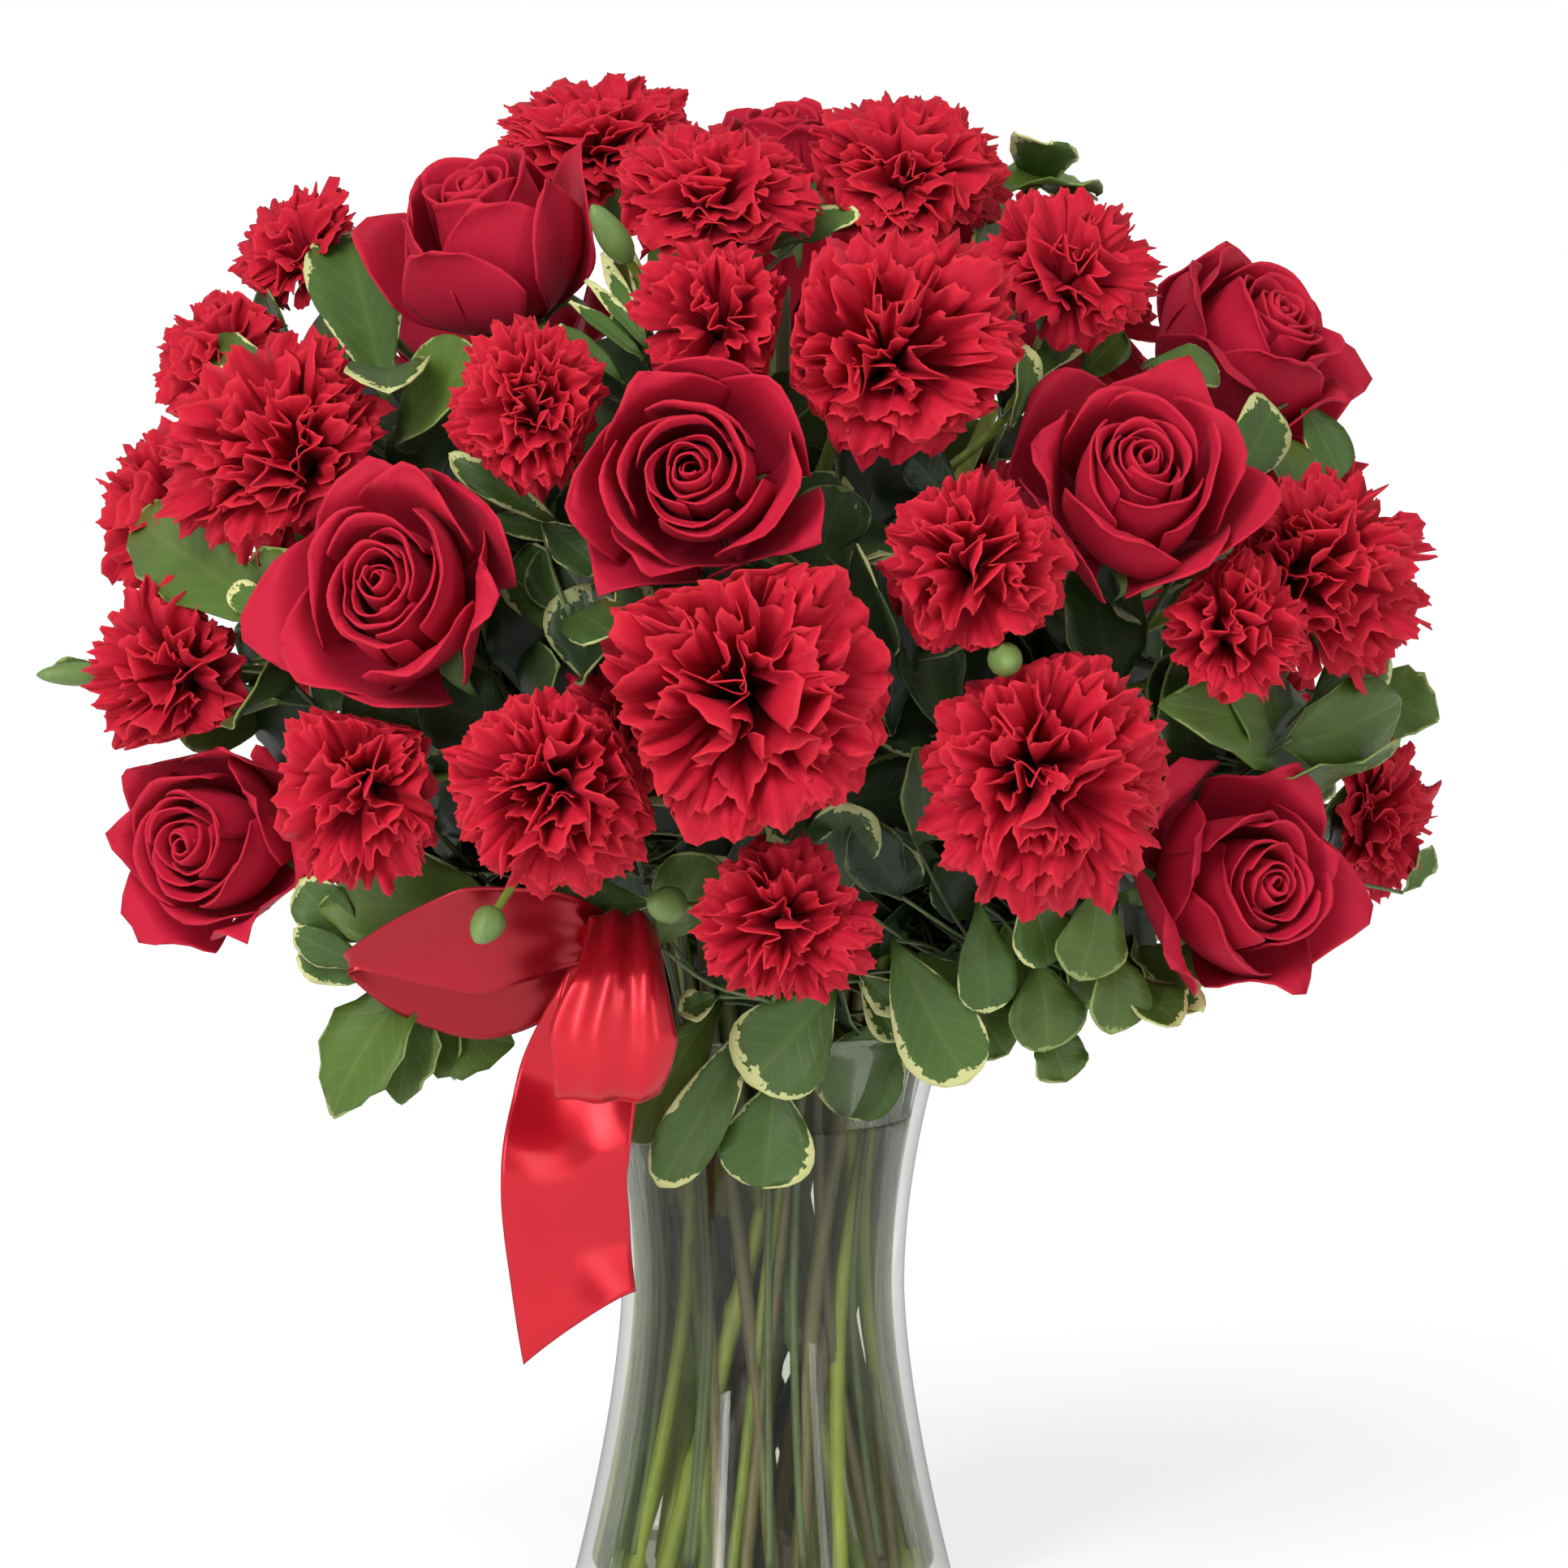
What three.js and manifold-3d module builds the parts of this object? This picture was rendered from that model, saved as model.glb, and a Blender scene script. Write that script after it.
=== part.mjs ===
// A round bouquet of red roses, carnations and mini carnations with variegated greens and a satin bow.
// It stands in a clear gathering vase. Millimetres, +Z up, base on z = 0, front towards -Y.
import * as THREE from "three";
import { mergeVertices } from "three/addons/utils/BufferGeometryUtils.js";
import Module from "manifold-3d";

const wasm = await Module();
wasm.setup();

// Vase
const VASE_HEIGHT = 180;
const BASE_RADIUS = 60;
const WAIST_RADIUS = 43;
const WAIST_HEIGHT = 98;
const RIM_RADIUS = 57;
const GLASS_WALL = 4;
const GLASS_FLOOR = 9;
const GLASS_SIDES = 24;
const WATER_LEVEL = 150;
const GAP = 0.3;

// The round head of the bouquet, an ellipsoid that the bloom centres lie on. Its back is flatter.
const HEAD = { across: 188, deep: 150, backDeep: 114, up: 172, down: 120, middle: 275 };

// Stems
const STEM_RADIUS = 2.6;
const THIN_STEM_RADIUS = 1.5;
const STEM_SIDES = 3;
const STEM_CLEARANCE = 0.45;
const RING_RADII = { foot: 46, waist: 31, mouth: 40 };
// The two rings of stems in the vase: each ring's share of the stems, size, and lean in degrees
const STEM_RINGS = [
  { share: 0.5, scale: 1, lean: 27 },
  { share: 0.5, scale: 0.56, lean: 27 },
];

// Greens and ribbon
const LEAF_THICKNESS = 0.9;
const LEAF_CLEARANCE = 0.5;
const LEAF_SPACING = 8;
const RIBBON_WIDTH = 37;
const RIBBON_THICKNESS = 0.8;

const COLOURS = {
  rose: 0xa8101f,
  carnation: 0xd3182a,
  stem: 0x5c7a34,
  leaf: 0x3f6b35,
  ribbon: 0xcf1b2c,
  glass: 0xdfe8e6,
  water: 0xd4dfd6,
};

// Each bloom: place seen from the front, radius, and where it faces.
// turn is degrees to the right of the viewer, lift is degrees above the horizon.
const ROSES = [
  { x: -79, z: 417, r: 36, turn: -40, lift: 56 },
  { x: -18, z: 352, r: 37, turn: -8, lift: 12 },
  { x: -104, z: 318, r: 40, turn: -14, lift: 12 },
  { x: 107, z: 349, r: 39, turn: 10, lift: 24 },
  { x: 147, z: 385, r: 36, turn: 38, lift: 34 },
  { x: -162, z: 240, r: 35, turn: -32, lift: 4 },
  { x: 140, z: 230, r: 37, turn: 34, lift: 8 },
  { x: 6, z: 438, r: 28, turn: 0, lift: 78, y: 14 },
  { x: -84, z: 388, r: 34, back: true },
  { x: 88, z: 314, r: 35, back: true },
  { x: -62, z: 246, r: 33, back: true },
];
const CARNATIONS = [
  { x: -49, z: 446, r: 28, turn: -12, lift: 52, y: 0 },
  { x: -14, z: 430, r: 29, turn: 0, lift: 50 },
  { x: 42, z: 436, r: 28, turn: 12, lift: 40 },
  { x: -140, z: 356, r: 34, turn: -38, lift: 20 },
  { x: -65, z: 370, r: 25, turn: -12, lift: 8 },
  { x: 36, z: 386, r: 37, turn: 4, lift: 20 },
  { x: 163, z: 320, r: 34, turn: 42, lift: 12 },
  { x: -58, z: 265, r: 31, turn: -6, lift: 0 },
  { x: -5, z: 292, r: 40, turn: 0, lift: 4 },
  { x: 79, z: 267, r: 37, turn: 8, lift: 0 },
  { x: 6, z: 390, r: 36, back: true },
  { x: -10, z: 306, r: 36, back: true },
  { x: 88, z: 394, r: 34, back: true },
  { x: -128, z: 302, r: 35, back: true },
  { x: 34, z: 236, r: 34, back: true },
  { x: 158, z: 330, r: 31, back: true },
];
const MINI_CARNATIONS = [
  { x: 89, z: 408, r: 24, turn: 14, lift: 36 },
  { x: -140, z: 412, r: 20, turn: -42, lift: 32, y: -2 },
  { x: -162, z: 380, r: 23, turn: -44, lift: 28, y: -8 },
  { x: -177, z: 334, r: 24, turn: -52, lift: 10, y: -10 },
  { x: -12, z: 395, r: 24, turn: 0, lift: 24 },
  { x: 60, z: 328, r: 27, turn: 2, lift: 14 },
  { x: 135, z: 307, r: 23, turn: 24, lift: 20 },
  { x: -173, z: 289, r: 24, turn: -28, lift: 0 },
  { x: -114, z: 262, r: 26, turn: -12, lift: 0 },
  { x: -37, z: 282, r: 18, turn: -14, lift: 10, y: -116 },
  { x: 6, z: 227, r: 25, turn: 0, lift: 4 },
  { x: 184, z: 243, r: 21, turn: 56, lift: 2, y: -16 },
  { x: 150, z: 258, r: 24, back: true },
  { x: -142, z: 236, r: 23, back: true },
];

// Closed buds on side branches of the flower stems: place, depth and size
const BUDS = [
  { x: -78, y: -118, z: 223, r: 5.5, tall: 1.1, from: "carnation_08" },
  { x: -27, y: -126, z: 230, r: 6, tall: 1.1, from: "mini_carnation_11" },
  { x: 68, y: -147, z: 301, r: 5.5, tall: 1.1, from: "mini_carnation_06" },
  { x: -43, y: -88, z: 418, r: 5, tall: 2.2, from: "mini_carnation_05" },
  { x: -206, y: -20, z: 286, r: 4, tall: 2.6, from: "mini_carnation_08" },
];

// Each leafy stem: where its leafy end comes out, its leaves, and the size of the blades.
// deep is how far inside the head the end lies, as a share of the head's size.
const GREENS = [
  { x: -114, z: 388, deep: 0.94, leaves: 5, length: 60, width: 31 },
  { x: -38, z: 408, deep: 0.9, leaves: 5, length: 36, width: 12 },
  { x: 82, z: 438, deep: 0.97, leaves: 4, length: 46, width: 24 },
  { x: 146, z: 352, deep: 0.94, leaves: 5, length: 44, width: 25 },
  { x: 30, z: 338, deep: 0.86, leaves: 5, length: 52, width: 32 },
  { x: 160, z: 272, deep: 0.96, leaves: 5, length: 54, width: 32, toothed: true },
  { x: -62, z: 320, deep: 0.88, leaves: 5, length: 44, width: 22 },
  { x: -160, z: 306, deep: 0.95, leaves: 5, length: 50, width: 27, toothed: true },
  { x: -108, z: 207, deep: 0.96, leaves: 5, length: 48, width: 25, toothed: true, hang: true },
  { x: 100, z: 216, deep: 0.94, leaves: 6, length: 42, width: 26, hang: true },
  { x: 4, z: 188, deep: 0.88, leaves: 4, length: 54, width: 26, hang: true },
  { x: -134, z: 366, deep: 0.9, leaves: 5, length: 58, width: 32, back: true },
  { x: 42, z: 352, deep: 0.92, leaves: 5, length: 58, width: 32, back: true },
  { x: 142, z: 284, deep: 0.9, leaves: 5, length: 56, width: 31, back: true },
  { x: -24, z: 212, deep: 0.86, leaves: 5, length: 48, width: 27, back: true, hang: true },
];

// How often a stem or a leaf is bent or turned to find it a clear way
const MOST_TRIES = 140;

// Seeded random numbers from 0 to 1
function randomFrom(seed) {
  let state = seed >>> 0;
  return () => {
    state = (state + 0x6d2b79f5) >>> 0;
    let t = Math.imul(state ^ (state >>> 15), 1 | state);
    t = (t + Math.imul(t ^ (t >>> 7), 61 | t)) ^ t;
    return ((t ^ (t >>> 14)) >>> 0) / 4294967296;
  };
}

const vec = (x, y, z) => new THREE.Vector3(x, y, z);
const polar = (radius, angle, z) => vec(radius * Math.cos(angle), radius * Math.sin(angle), z);
const radians = (degrees) => (degrees * Math.PI) / 180;
const bearing = (point) => (Math.atan2(point.y, point.x) + 2 * Math.PI) % (2 * Math.PI);

// Solids
function solidOf(geometry) {
  const bare = geometry.clone();
  bare.deleteAttribute("normal");
  bare.deleteAttribute("uv");
  const joined = mergeVertices(bare, 1e-3);
  const faces = new Uint32Array(joined.index.array);
  const points = new Float32Array(joined.attributes.position.array);
  if (signedVolume(points, faces) < 0) {
    faces.reverse();
  }
  return new wasm.Manifold(new wasm.Mesh({ numProp: 3, vertProperties: points, triVerts: faces }));
}

function signedVolume(points, faces) {
  let sum = 0;
  for (let i = 0; i < faces.length; i += 3) {
    const [a, b, c] = [0, 1, 2].map((k) => new THREE.Vector3().fromArray(points, faces[i + k] * 3));
    sum += a.dot(b.cross(c));
  }
  return sum;
}

function geometryOf(solid) {
  const mesh = solid.getMesh();
  const geometry = new THREE.BufferGeometry();
  geometry.setAttribute("position", new THREE.BufferAttribute(mesh.vertProperties, mesh.numProp));
  geometry.setIndex(new THREE.BufferAttribute(mesh.triVerts, 1));
  geometry.computeVertexNormals();
  return geometry;
}

function indexed(points, faces) {
  const geometry = new THREE.BufferGeometry();
  geometry.setFromPoints(points);
  geometry.setIndex(faces);
  return geometry;
}

function joinAll(solids) {
  return solids.reduce((sum, next) => sum.add(next));
}

function largestBody(solid) {
  return solid.decompose().sort((a, b) => b.volume() - a.volume())[0];
}

function boxesMeet(a, b) {
  const [p, q] = [a.boundingBox(), b.boundingBox()];
  return [0, 1, 2].every((k) => p.min[k] <= q.max[k] && q.min[k] <= p.max[k]);
}

function isClear(space, obstacles) {
  return obstacles.every((other) => !boxesMeet(space, other) || space.intersect(other).isEmpty());
}

// A route of straight stretches whose corners are exactly the given points
class Route extends THREE.Curve {
  constructor(points) {
    super();
    this.points = points;
  }

  getPoint(share) {
    const at = share * (this.points.length - 1);
    const low = Math.min(Math.floor(at), this.points.length - 2);
    return this.points[low].clone().lerp(this.points[low + 1], at - low);
  }

  getUtoTmapping(share) {
    return share;
  }
}

// A tube with a few flat sides along a route, with its own radius at each point
function tube(points, radii, sides) {
  const corners = [];
  for (let i = 0; i < sides; i += 1) {
    const angle = (2 * Math.PI * i) / sides;
    corners.push(new THREE.Vector2(Math.cos(angle), Math.sin(angle)));
  }
  const settings = { steps: points.length - 1, extrudePath: new Route(points), bevelEnabled: false };
  const geometry = new THREE.ExtrudeGeometry(new THREE.Shape(corners), settings);
  const place = geometry.attributes.position;
  for (let i = 0; i < place.count; i += 1) {
    const corner = new THREE.Vector3().fromBufferAttribute(place, i);
    const at = nearestIndex(points, corner);
    const radius = Array.isArray(radii) ? radii[at] : radii;
    corner.sub(points[at]).multiplyScalar(radius).add(points[at]);
    place.setXYZ(i, corner.x, corner.y, corner.z);
  }
  return geometry;
}

function nearestIndex(points, to) {
  const away = points.map((point) => point.distanceTo(to));
  return away.indexOf(Math.min(...away));
}

// A thin sheet of even thickness from rows of points, with the same triangles on both faces.
// A first or last row of one point is a tip.
function sheet(rows, normals, thickness) {
  const points = [];
  const starts = [];
  rows.forEach((row, i) => {
    starts.push(points.length);
    for (const point of row) {
      points.push(point.clone().addScaledVector(normals[i], thickness / 2));
      points.push(point.clone().addScaledVector(normals[i], -thickness / 2));
    }
  });
  const top = (i, j) => starts[i] + 2 * Math.min(j, rows[i].length - 1);
  const faces = [];
  const bothFaces = (a, b, c) => {
    if (a !== b && b !== c && c !== a) {
      faces.push(a, b, c, c + 1, b + 1, a + 1);
    }
  };
  const wall = (a, b) => {
    if (a !== b) {
      faces.push(a, b, b + 1, a, b + 1, a + 1);
    }
  };
  const strips = rows[1].length - 1;
  for (let i = 0; i < rows.length - 1; i += 1) {
    for (let j = 0; j < strips; j += 1) {
      const [a, b, c, d] = [top(i, j), top(i, j + 1), top(i + 1, j + 1), top(i + 1, j)];
      bothFaces(a, b, c);
      bothFaces(a, c, d);
    }
    wall(top(i, 0), top(i + 1, 0));
    wall(top(i + 1, strips), top(i, strips));
  }
  for (let j = 0; j < strips; j += 1) {
    wall(top(0, j + 1), top(0, j));
    wall(top(rows.length - 1, j), top(rows.length - 1, j + 1));
  }
  return indexed(points, faces);
}

// Vase and water
function vaseRadius(z) {
  const toFoot = THREE.MathUtils.clamp((WAIST_HEIGHT - z) / WAIST_HEIGHT, 0, 1);
  const toRim = THREE.MathUtils.clamp((z - WAIST_HEIGHT) / (VASE_HEIGHT - WAIST_HEIGHT), 0, 1);
  const below = (BASE_RADIUS - WAIST_RADIUS) * toFoot ** 1.55;
  const above = (RIM_RADIUS - WAIST_RADIUS) * toRim ** 1.9;
  return WAIST_RADIUS + below + above;
}

function heights(from, to, count) {
  return Array.from({ length: count + 1 }, (_, i) => from + ((to - from) * i) / count);
}

const INNER_LEVELS = [...heights(GLASS_FLOOR, WATER_LEVEL, 3), VASE_HEIGHT - 1.5];

function vaseGeometry() {
  const profile = [new THREE.Vector2(0, 0), new THREE.Vector2(BASE_RADIUS - 2, 0)];
  for (const z of heights(2, VASE_HEIGHT - 1.5, 5)) {
    profile.push(new THREE.Vector2(vaseRadius(z), z));
  }
  profile.push(new THREE.Vector2(RIM_RADIUS - GLASS_WALL / 2, VASE_HEIGHT));
  for (const z of [...INNER_LEVELS].reverse()) {
    profile.push(new THREE.Vector2(vaseRadius(z) - GLASS_WALL, z));
  }
  profile.push(new THREE.Vector2(0, GLASS_FLOOR));
  return new THREE.LatheGeometry(profile, GLASS_SIDES).rotateX(Math.PI / 2);
}

function waterSolid(holes) {
  const profile = [new THREE.Vector2(0, GLASS_FLOOR + GAP)];
  for (const z of INNER_LEVELS.filter((level) => level <= WATER_LEVEL)) {
    profile.push(new THREE.Vector2(vaseRadius(z) - GLASS_WALL - GAP, Math.max(z, GLASS_FLOOR + GAP)));
  }
  profile.push(new THREE.Vector2(0, WATER_LEVEL));
  const body = new THREE.LatheGeometry(profile, GLASS_SIDES).rotateX(Math.PI / 2);
  return largestBody(solidOf(body).subtract(holes));
}

// Blooms: a closed surface of rings, each ring a layer of petal tips or the valley behind it.
// Every second point of a ring is a tip. A ring is radius, height, how much further out its tips
// reach and how much higher they rise, all as shares of the bloom's radius.
const ROSE_RINGS = [
  [0.26, -0.76, 0, 0],
  [0.6, -0.46, 0, 0],
  [0.8, -0.04, 0.1, 0],
  [1.02, 0.22, 0.32, -0.12],
  [0.78, 0.28, 0.14, 0],
  [0.64, 0.02, 0, 0],
  [0.66, 0.46, -0.2, 0.14],
  [0.46, 0.12, 0, 0],
  [0.38, 0.54, 0.2, 0.12],
  [0.2, 0.24, 0, 0],
];
const CARNATION_RINGS = [
  [0.15, -0.72, 0, 0],
  [0.46, -0.34, 0, 0],
  [1.0, -0.06, 0.16, 0.16],
  [0.72, 0.02, 0, 0],
  [0.82, 0.32, 0.16, -0.14],
  [0.54, 0.16, 0, 0],
  [0.56, 0.52, 0.2, 0.12],
  [0.3, 0.3, 0, 0],
  [0.26, 0.6, 0.3, -0.1],
];
const MINI_RINGS = [
  [0.15, -0.76, 0, 0],
  [0.44, -0.34, 0, 0],
  [1.0, 0.0, 0.2, 0.18],
  [0.66, 0.06, 0, 0],
  [0.68, 0.44, 0.2, -0.16],
  [0.38, 0.2, 0, 0],
  [0.32, 0.58, 0.3, 0.12],
];
// petals is the number in a ring, foot and heart are the heights of the two ends.
const KINDS = {
  rose: { rings: ROSE_RINGS, petals: 5, foot: -0.8, heart: 0.46, ragged: 0.03 },
  carnation: { rings: CARNATION_RINGS, petals: 6, foot: -0.76, heart: 0.42, ragged: 0.07 },
  mini_carnation: { rings: MINI_RINGS, petals: 5, foot: -0.8, heart: 0.36, ragged: 0.07 },
};

// y of the head's surface at a place seen from the front
function headSurface(x, z, back) {
  const tall = z > HEAD.middle ? HEAD.up : HEAD.down;
  const left = 1 - (x / HEAD.across) ** 2 - ((z - HEAD.middle) / tall) ** 2;
  const reach = Math.sqrt(Math.max(left, 0));
  return back ? HEAD.backDeep * reach : -HEAD.deep * reach;
}

function headNormal(point) {
  const tall = point.z > HEAD.middle ? HEAD.up : HEAD.down;
  const deep = point.y > 0 ? HEAD.backDeep : HEAD.deep;
  const squares = vec(HEAD.across ** 2, deep ** 2, tall ** 2);
  return vec(point.x, point.y, point.z - HEAD.middle).divide(squares).normalize();
}

function listBlooms() {
  const listed = [];
  const groups = { rose: ROSES, carnation: CARNATIONS, mini_carnation: MINI_CARNATIONS };
  for (const [kind, rows] of Object.entries(groups)) {
    rows.forEach((row, i) => {
      const y = row.y ?? headSurface(row.x, row.z, row.back);
      const centre = vec(row.x, y, row.z);
      const [turn, lift] = [radians(row.turn ?? 0), radians(row.lift ?? 0)];
      const faced = polar(Math.cos(lift), turn - Math.PI / 2, Math.sin(lift));
      const facing = row.back ? headNormal(centre) : faced;
      const name = kind + "_" + String(i + 1).padStart(2, "0");
      listed.push({ name, kind, centre, radius: row.r, facing });
    });
  }
  return listed;
}

// Moves a point of one bloom back from the planes that part it from its neighbours.
function holdBack(point, bloom, blooms) {
  for (const other of blooms) {
    const reach = bloom.radius + other.radius;
    const apart = bloom.centre.distanceTo(other.centre);
    if (other === bloom || apart > 1.25 * reach) {
      continue;
    }
    const towards = other.centre.clone().sub(bloom.centre).normalize();
    const limit = (apart * bloom.radius) / reach - GAP;
    const start = 0.6 * limit;
    const along = point.clone().sub(bloom.centre).dot(towards);
    if (along > start) {
      const room = limit - start;
      const held = start + room * (1 - Math.exp(-(along - start) / room));
      point.addScaledVector(towards, held - along);
    }
  }
  return point;
}

function bloomGeometry(bloom, blooms, seed) {
  const random = randomFrom(seed);
  const { rings, petals, foot, heart, ragged } = KINDS[bloom.kind];
  const steps = 2 * petals;
  const turned = new THREE.Quaternion().setFromUnitVectors(vec(0, 0, 1), bloom.facing);
  const place = (radius, angle, height) => {
    const point = polar(radius, angle, height).multiplyScalar(bloom.radius);
    point.applyQuaternion(turned).add(bloom.centre);
    return holdBack(holdBack(point, bloom, blooms), bloom, blooms);
  };
  const points = [place(0, 0, foot)];
  for (const [radius, height, reach, rise] of rings) {
    for (let i = 0; i < steps; i += 1) {
      const tip = (i % 2) - 0.5;
      const rough = reach ? ragged * (random() - 0.5) : 0;
      const angle = (2 * Math.PI * i) / steps;
      points.push(place(radius * (1 + reach * tip + rough), angle, height + rise * tip + rough));
    }
  }
  points.push(place(0, 0, heart));
  const at = (layer, i) => 1 + layer * steps + (i % steps);
  const faces = [];
  for (let i = 0; i < steps; i += 1) {
    faces.push(0, at(0, i + 1), at(0, i));
    faces.push(points.length - 1, at(rings.length - 1, i), at(rings.length - 1, i + 1));
    for (let layer = 0; layer < rings.length - 1; layer += 1) {
      const [a, b] = [at(layer, i), at(layer, i + 1)];
      const [c, d] = [at(layer + 1, i + 1), at(layer + 1, i)];
      faces.push(a, b, c, a, c, d);
    }
  }
  bloom.foot = points[0].clone();
  return indexed(points, faces);
}

// Flower stems: straight in the vase between two rings of places, then curved up to each bloom.
// Every second stem of a ring leans the other way, so that neighbours cross and hold each other.
function stemPlaces(count, rings) {
  const places = [];
  rings.forEach(({ share, scale, lean }, ring) => {
    const number = Math.round(count * share);
    for (let i = 0; i < number; i += 1) {
      const way = i % 2 ? -1 : 1;
      const angle = (2 * Math.PI * (i + 0.5 * ring)) / number;
      places.push({ ring, angle, lean: radians(lean) * way, scale, leansOut: ring > 0 && i === 0 });
    }
  });
  return places.slice(0, count);
}

function ringRoute(place) {
  const levels = [
    [RING_RADII.foot, GLASS_FLOOR + 1.4, -1],
    [RING_RADII.waist, WAIST_HEIGHT, 0],
    [RING_RADII.mouth, VASE_HEIGHT - 4, 1],
  ];
  return levels.map(([radius, z, way]) => {
    const scale = way < 0 ? Math.sqrt(place.scale) : place.scale;
    return polar(radius * scale, place.angle + way * place.lean, z);
  });
}

// The first stem of an inner ring has its foot beside a stem of the ring outside it.
function stemStart(place, places) {
  const points = ringRoute(place);
  if (place.leansOut) {
    const outer = places.filter((other) => other.ring === place.ring - 1);
    const feet = outer.map((other) => ringRoute(other)[0]);
    feet.sort((a, b) => a.distanceTo(points[0]) - b.distanceTo(points[0]));
    points[0].copy(feet[0]).multiply(vec(0.98, 0.98, 1));
  }
  return points;
}

const calyxLength = (bloom) => (bloom.kind === "rose" ? 7 : 13);
const calyxRadius = (bloom) => (bloom.kind === "rose" ? 0.22 : 0.14) * bloom.radius;

function stemRoute(start, bloom, drift) {
  const end = bloom.foot.clone().addScaledVector(bloom.facing, -GAP - calyxLength(bloom));
  const last = start[start.length - 1];
  const tall = last.distanceTo(end);
  const rising = last.clone().add(vec(0, 0, 0.28 * tall)).lerp(end, 0.12);
  const arriving = end.clone().addScaledVector(bloom.facing, -0.26 * tall).lerp(last, 0.12);
  rising.addScaledVector(drift, 0.6);
  arriving.add(drift);
  const top = bloom.foot.clone().addScaledVector(bloom.facing, -GAP);
  const cup = end.clone().lerp(top, 0.45);
  return [...start, rising, arriving, end, cup, top];
}

function drifts(seed, count, most) {
  const random = randomFrom(seed);
  const list = [vec(0, 0, 0)];
  for (let i = 1; i < count; i += 1) {
    const size = (most * i) / count;
    const sample = vec(random() - 0.5, random() - 0.5, random() - 0.5);
    list.push(sample.normalize().multiplyScalar(size));
  }
  return list;
}

// A stem with its calyx cup: the route bends by small random drifts until it is clear.
function stemFor(bloom, start, radius, obstacles, seed) {
  for (const drift of drifts(seed, MOST_TRIES, 60)) {
    const route = stemRoute(start, bloom, drift);
    const radii = route.map(() => radius);
    radii.splice(-2, 2, 0.8 * calyxRadius(bloom), calyxRadius(bloom));
    const wide = radii.map((own) => own + STEM_CLEARANCE);
    if (isClear(solidOf(tube(route, wide, STEM_SIDES)), obstacles)) {
      return { solid: solidOf(tube(route, radii, STEM_SIDES)), route };
    }
  }
  throw new Error("no clear way for the stem of " + bloom.name);
}

// The room of a stem in the water: the same route, a little wider and reaching below the foot
function stemHole(route) {
  const lower = route[0].clone().lerp(route[1], -0.08);
  return solidOf(tube([lower, ...route.slice(1)], STEM_RADIUS + 0.5, STEM_SIDES));
}

// A closed bud on its own short stalk
function budSolid(bud, start, obstacles, seed) {
  const end = vec(bud.x, bud.y, bud.z);
  const up = end.clone().sub(start).normalize();
  const egg = new THREE.SphereGeometry(bud.r, 6, 4).scale(1, bud.tall, 1);
  egg.applyQuaternion(new THREE.Quaternion().setFromUnitVectors(vec(0, 1, 0), up));
  egg.translate(...end.toArray());
  for (const drift of drifts(seed, MOST_TRIES, 50)) {
    const route = [start, start.clone().lerp(end, 0.5).add(drift), end];
    const space = solidOf(tube(route, THIN_STEM_RADIUS + STEM_CLEARANCE, STEM_SIDES));
    if (isClear(space, obstacles)) {
      return solidOf(tube(route, THIN_STEM_RADIUS, STEM_SIDES)).add(solidOf(egg));
    }
  }
  throw new Error("no clear way for a bud of " + bud.from);
}

// Leaves: a blade is a row of points across at each share of its length, between its two tips.
const PLAIN_SHARES = [0, 0.3, 0.68, 1];
const TOOTHED_SHARES = [0, 0.24, 0.44, 0.64, 0.84, 1];

function leafRows(base, along, face, length, width, edge) {
  const shares = edge.toothed ? TOOTHED_SHARES : PLAIN_SHARES;
  const side = new THREE.Vector3().crossVectors(along, face).normalize();
  return shares.map((share, i) => {
    const way = i % 2 ? 1 : -1;
    const middle = base.clone().addScaledVector(along, length * share);
    middle.addScaledVector(face, -edge.curl * length * share * share);
    if (share === 0 || share === 1) {
      return [middle];
    }
    const full = Math.sin(Math.PI * share ** 0.8) + (edge.toothed ? 0.08 * way : 0);
    const half = (width / 2 + edge.extra) * full;
    const lift = 0.16 * half + edge.wave * way;
    const margin = (hand) => {
      const point = middle.clone().addScaledVector(side, hand * half);
      return point.addScaledVector(face, lift + hand * edge.wave * 0.5);
    };
    return [margin(-1), middle, margin(1)];
  });
}

function leafSolid(leaf, extra) {
  const edge = { toothed: leaf.toothed, curl: leaf.curl, wave: leaf.wave, extra };
  const rows = leafRows(leaf.base, leaf.along, leaf.face, leaf.length, leaf.width, edge);
  const normals = rows.map(() => leaf.face);
  return solidOf(sheet(rows, normals, LEAF_THICKNESS + 2 * extra));
}

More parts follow.
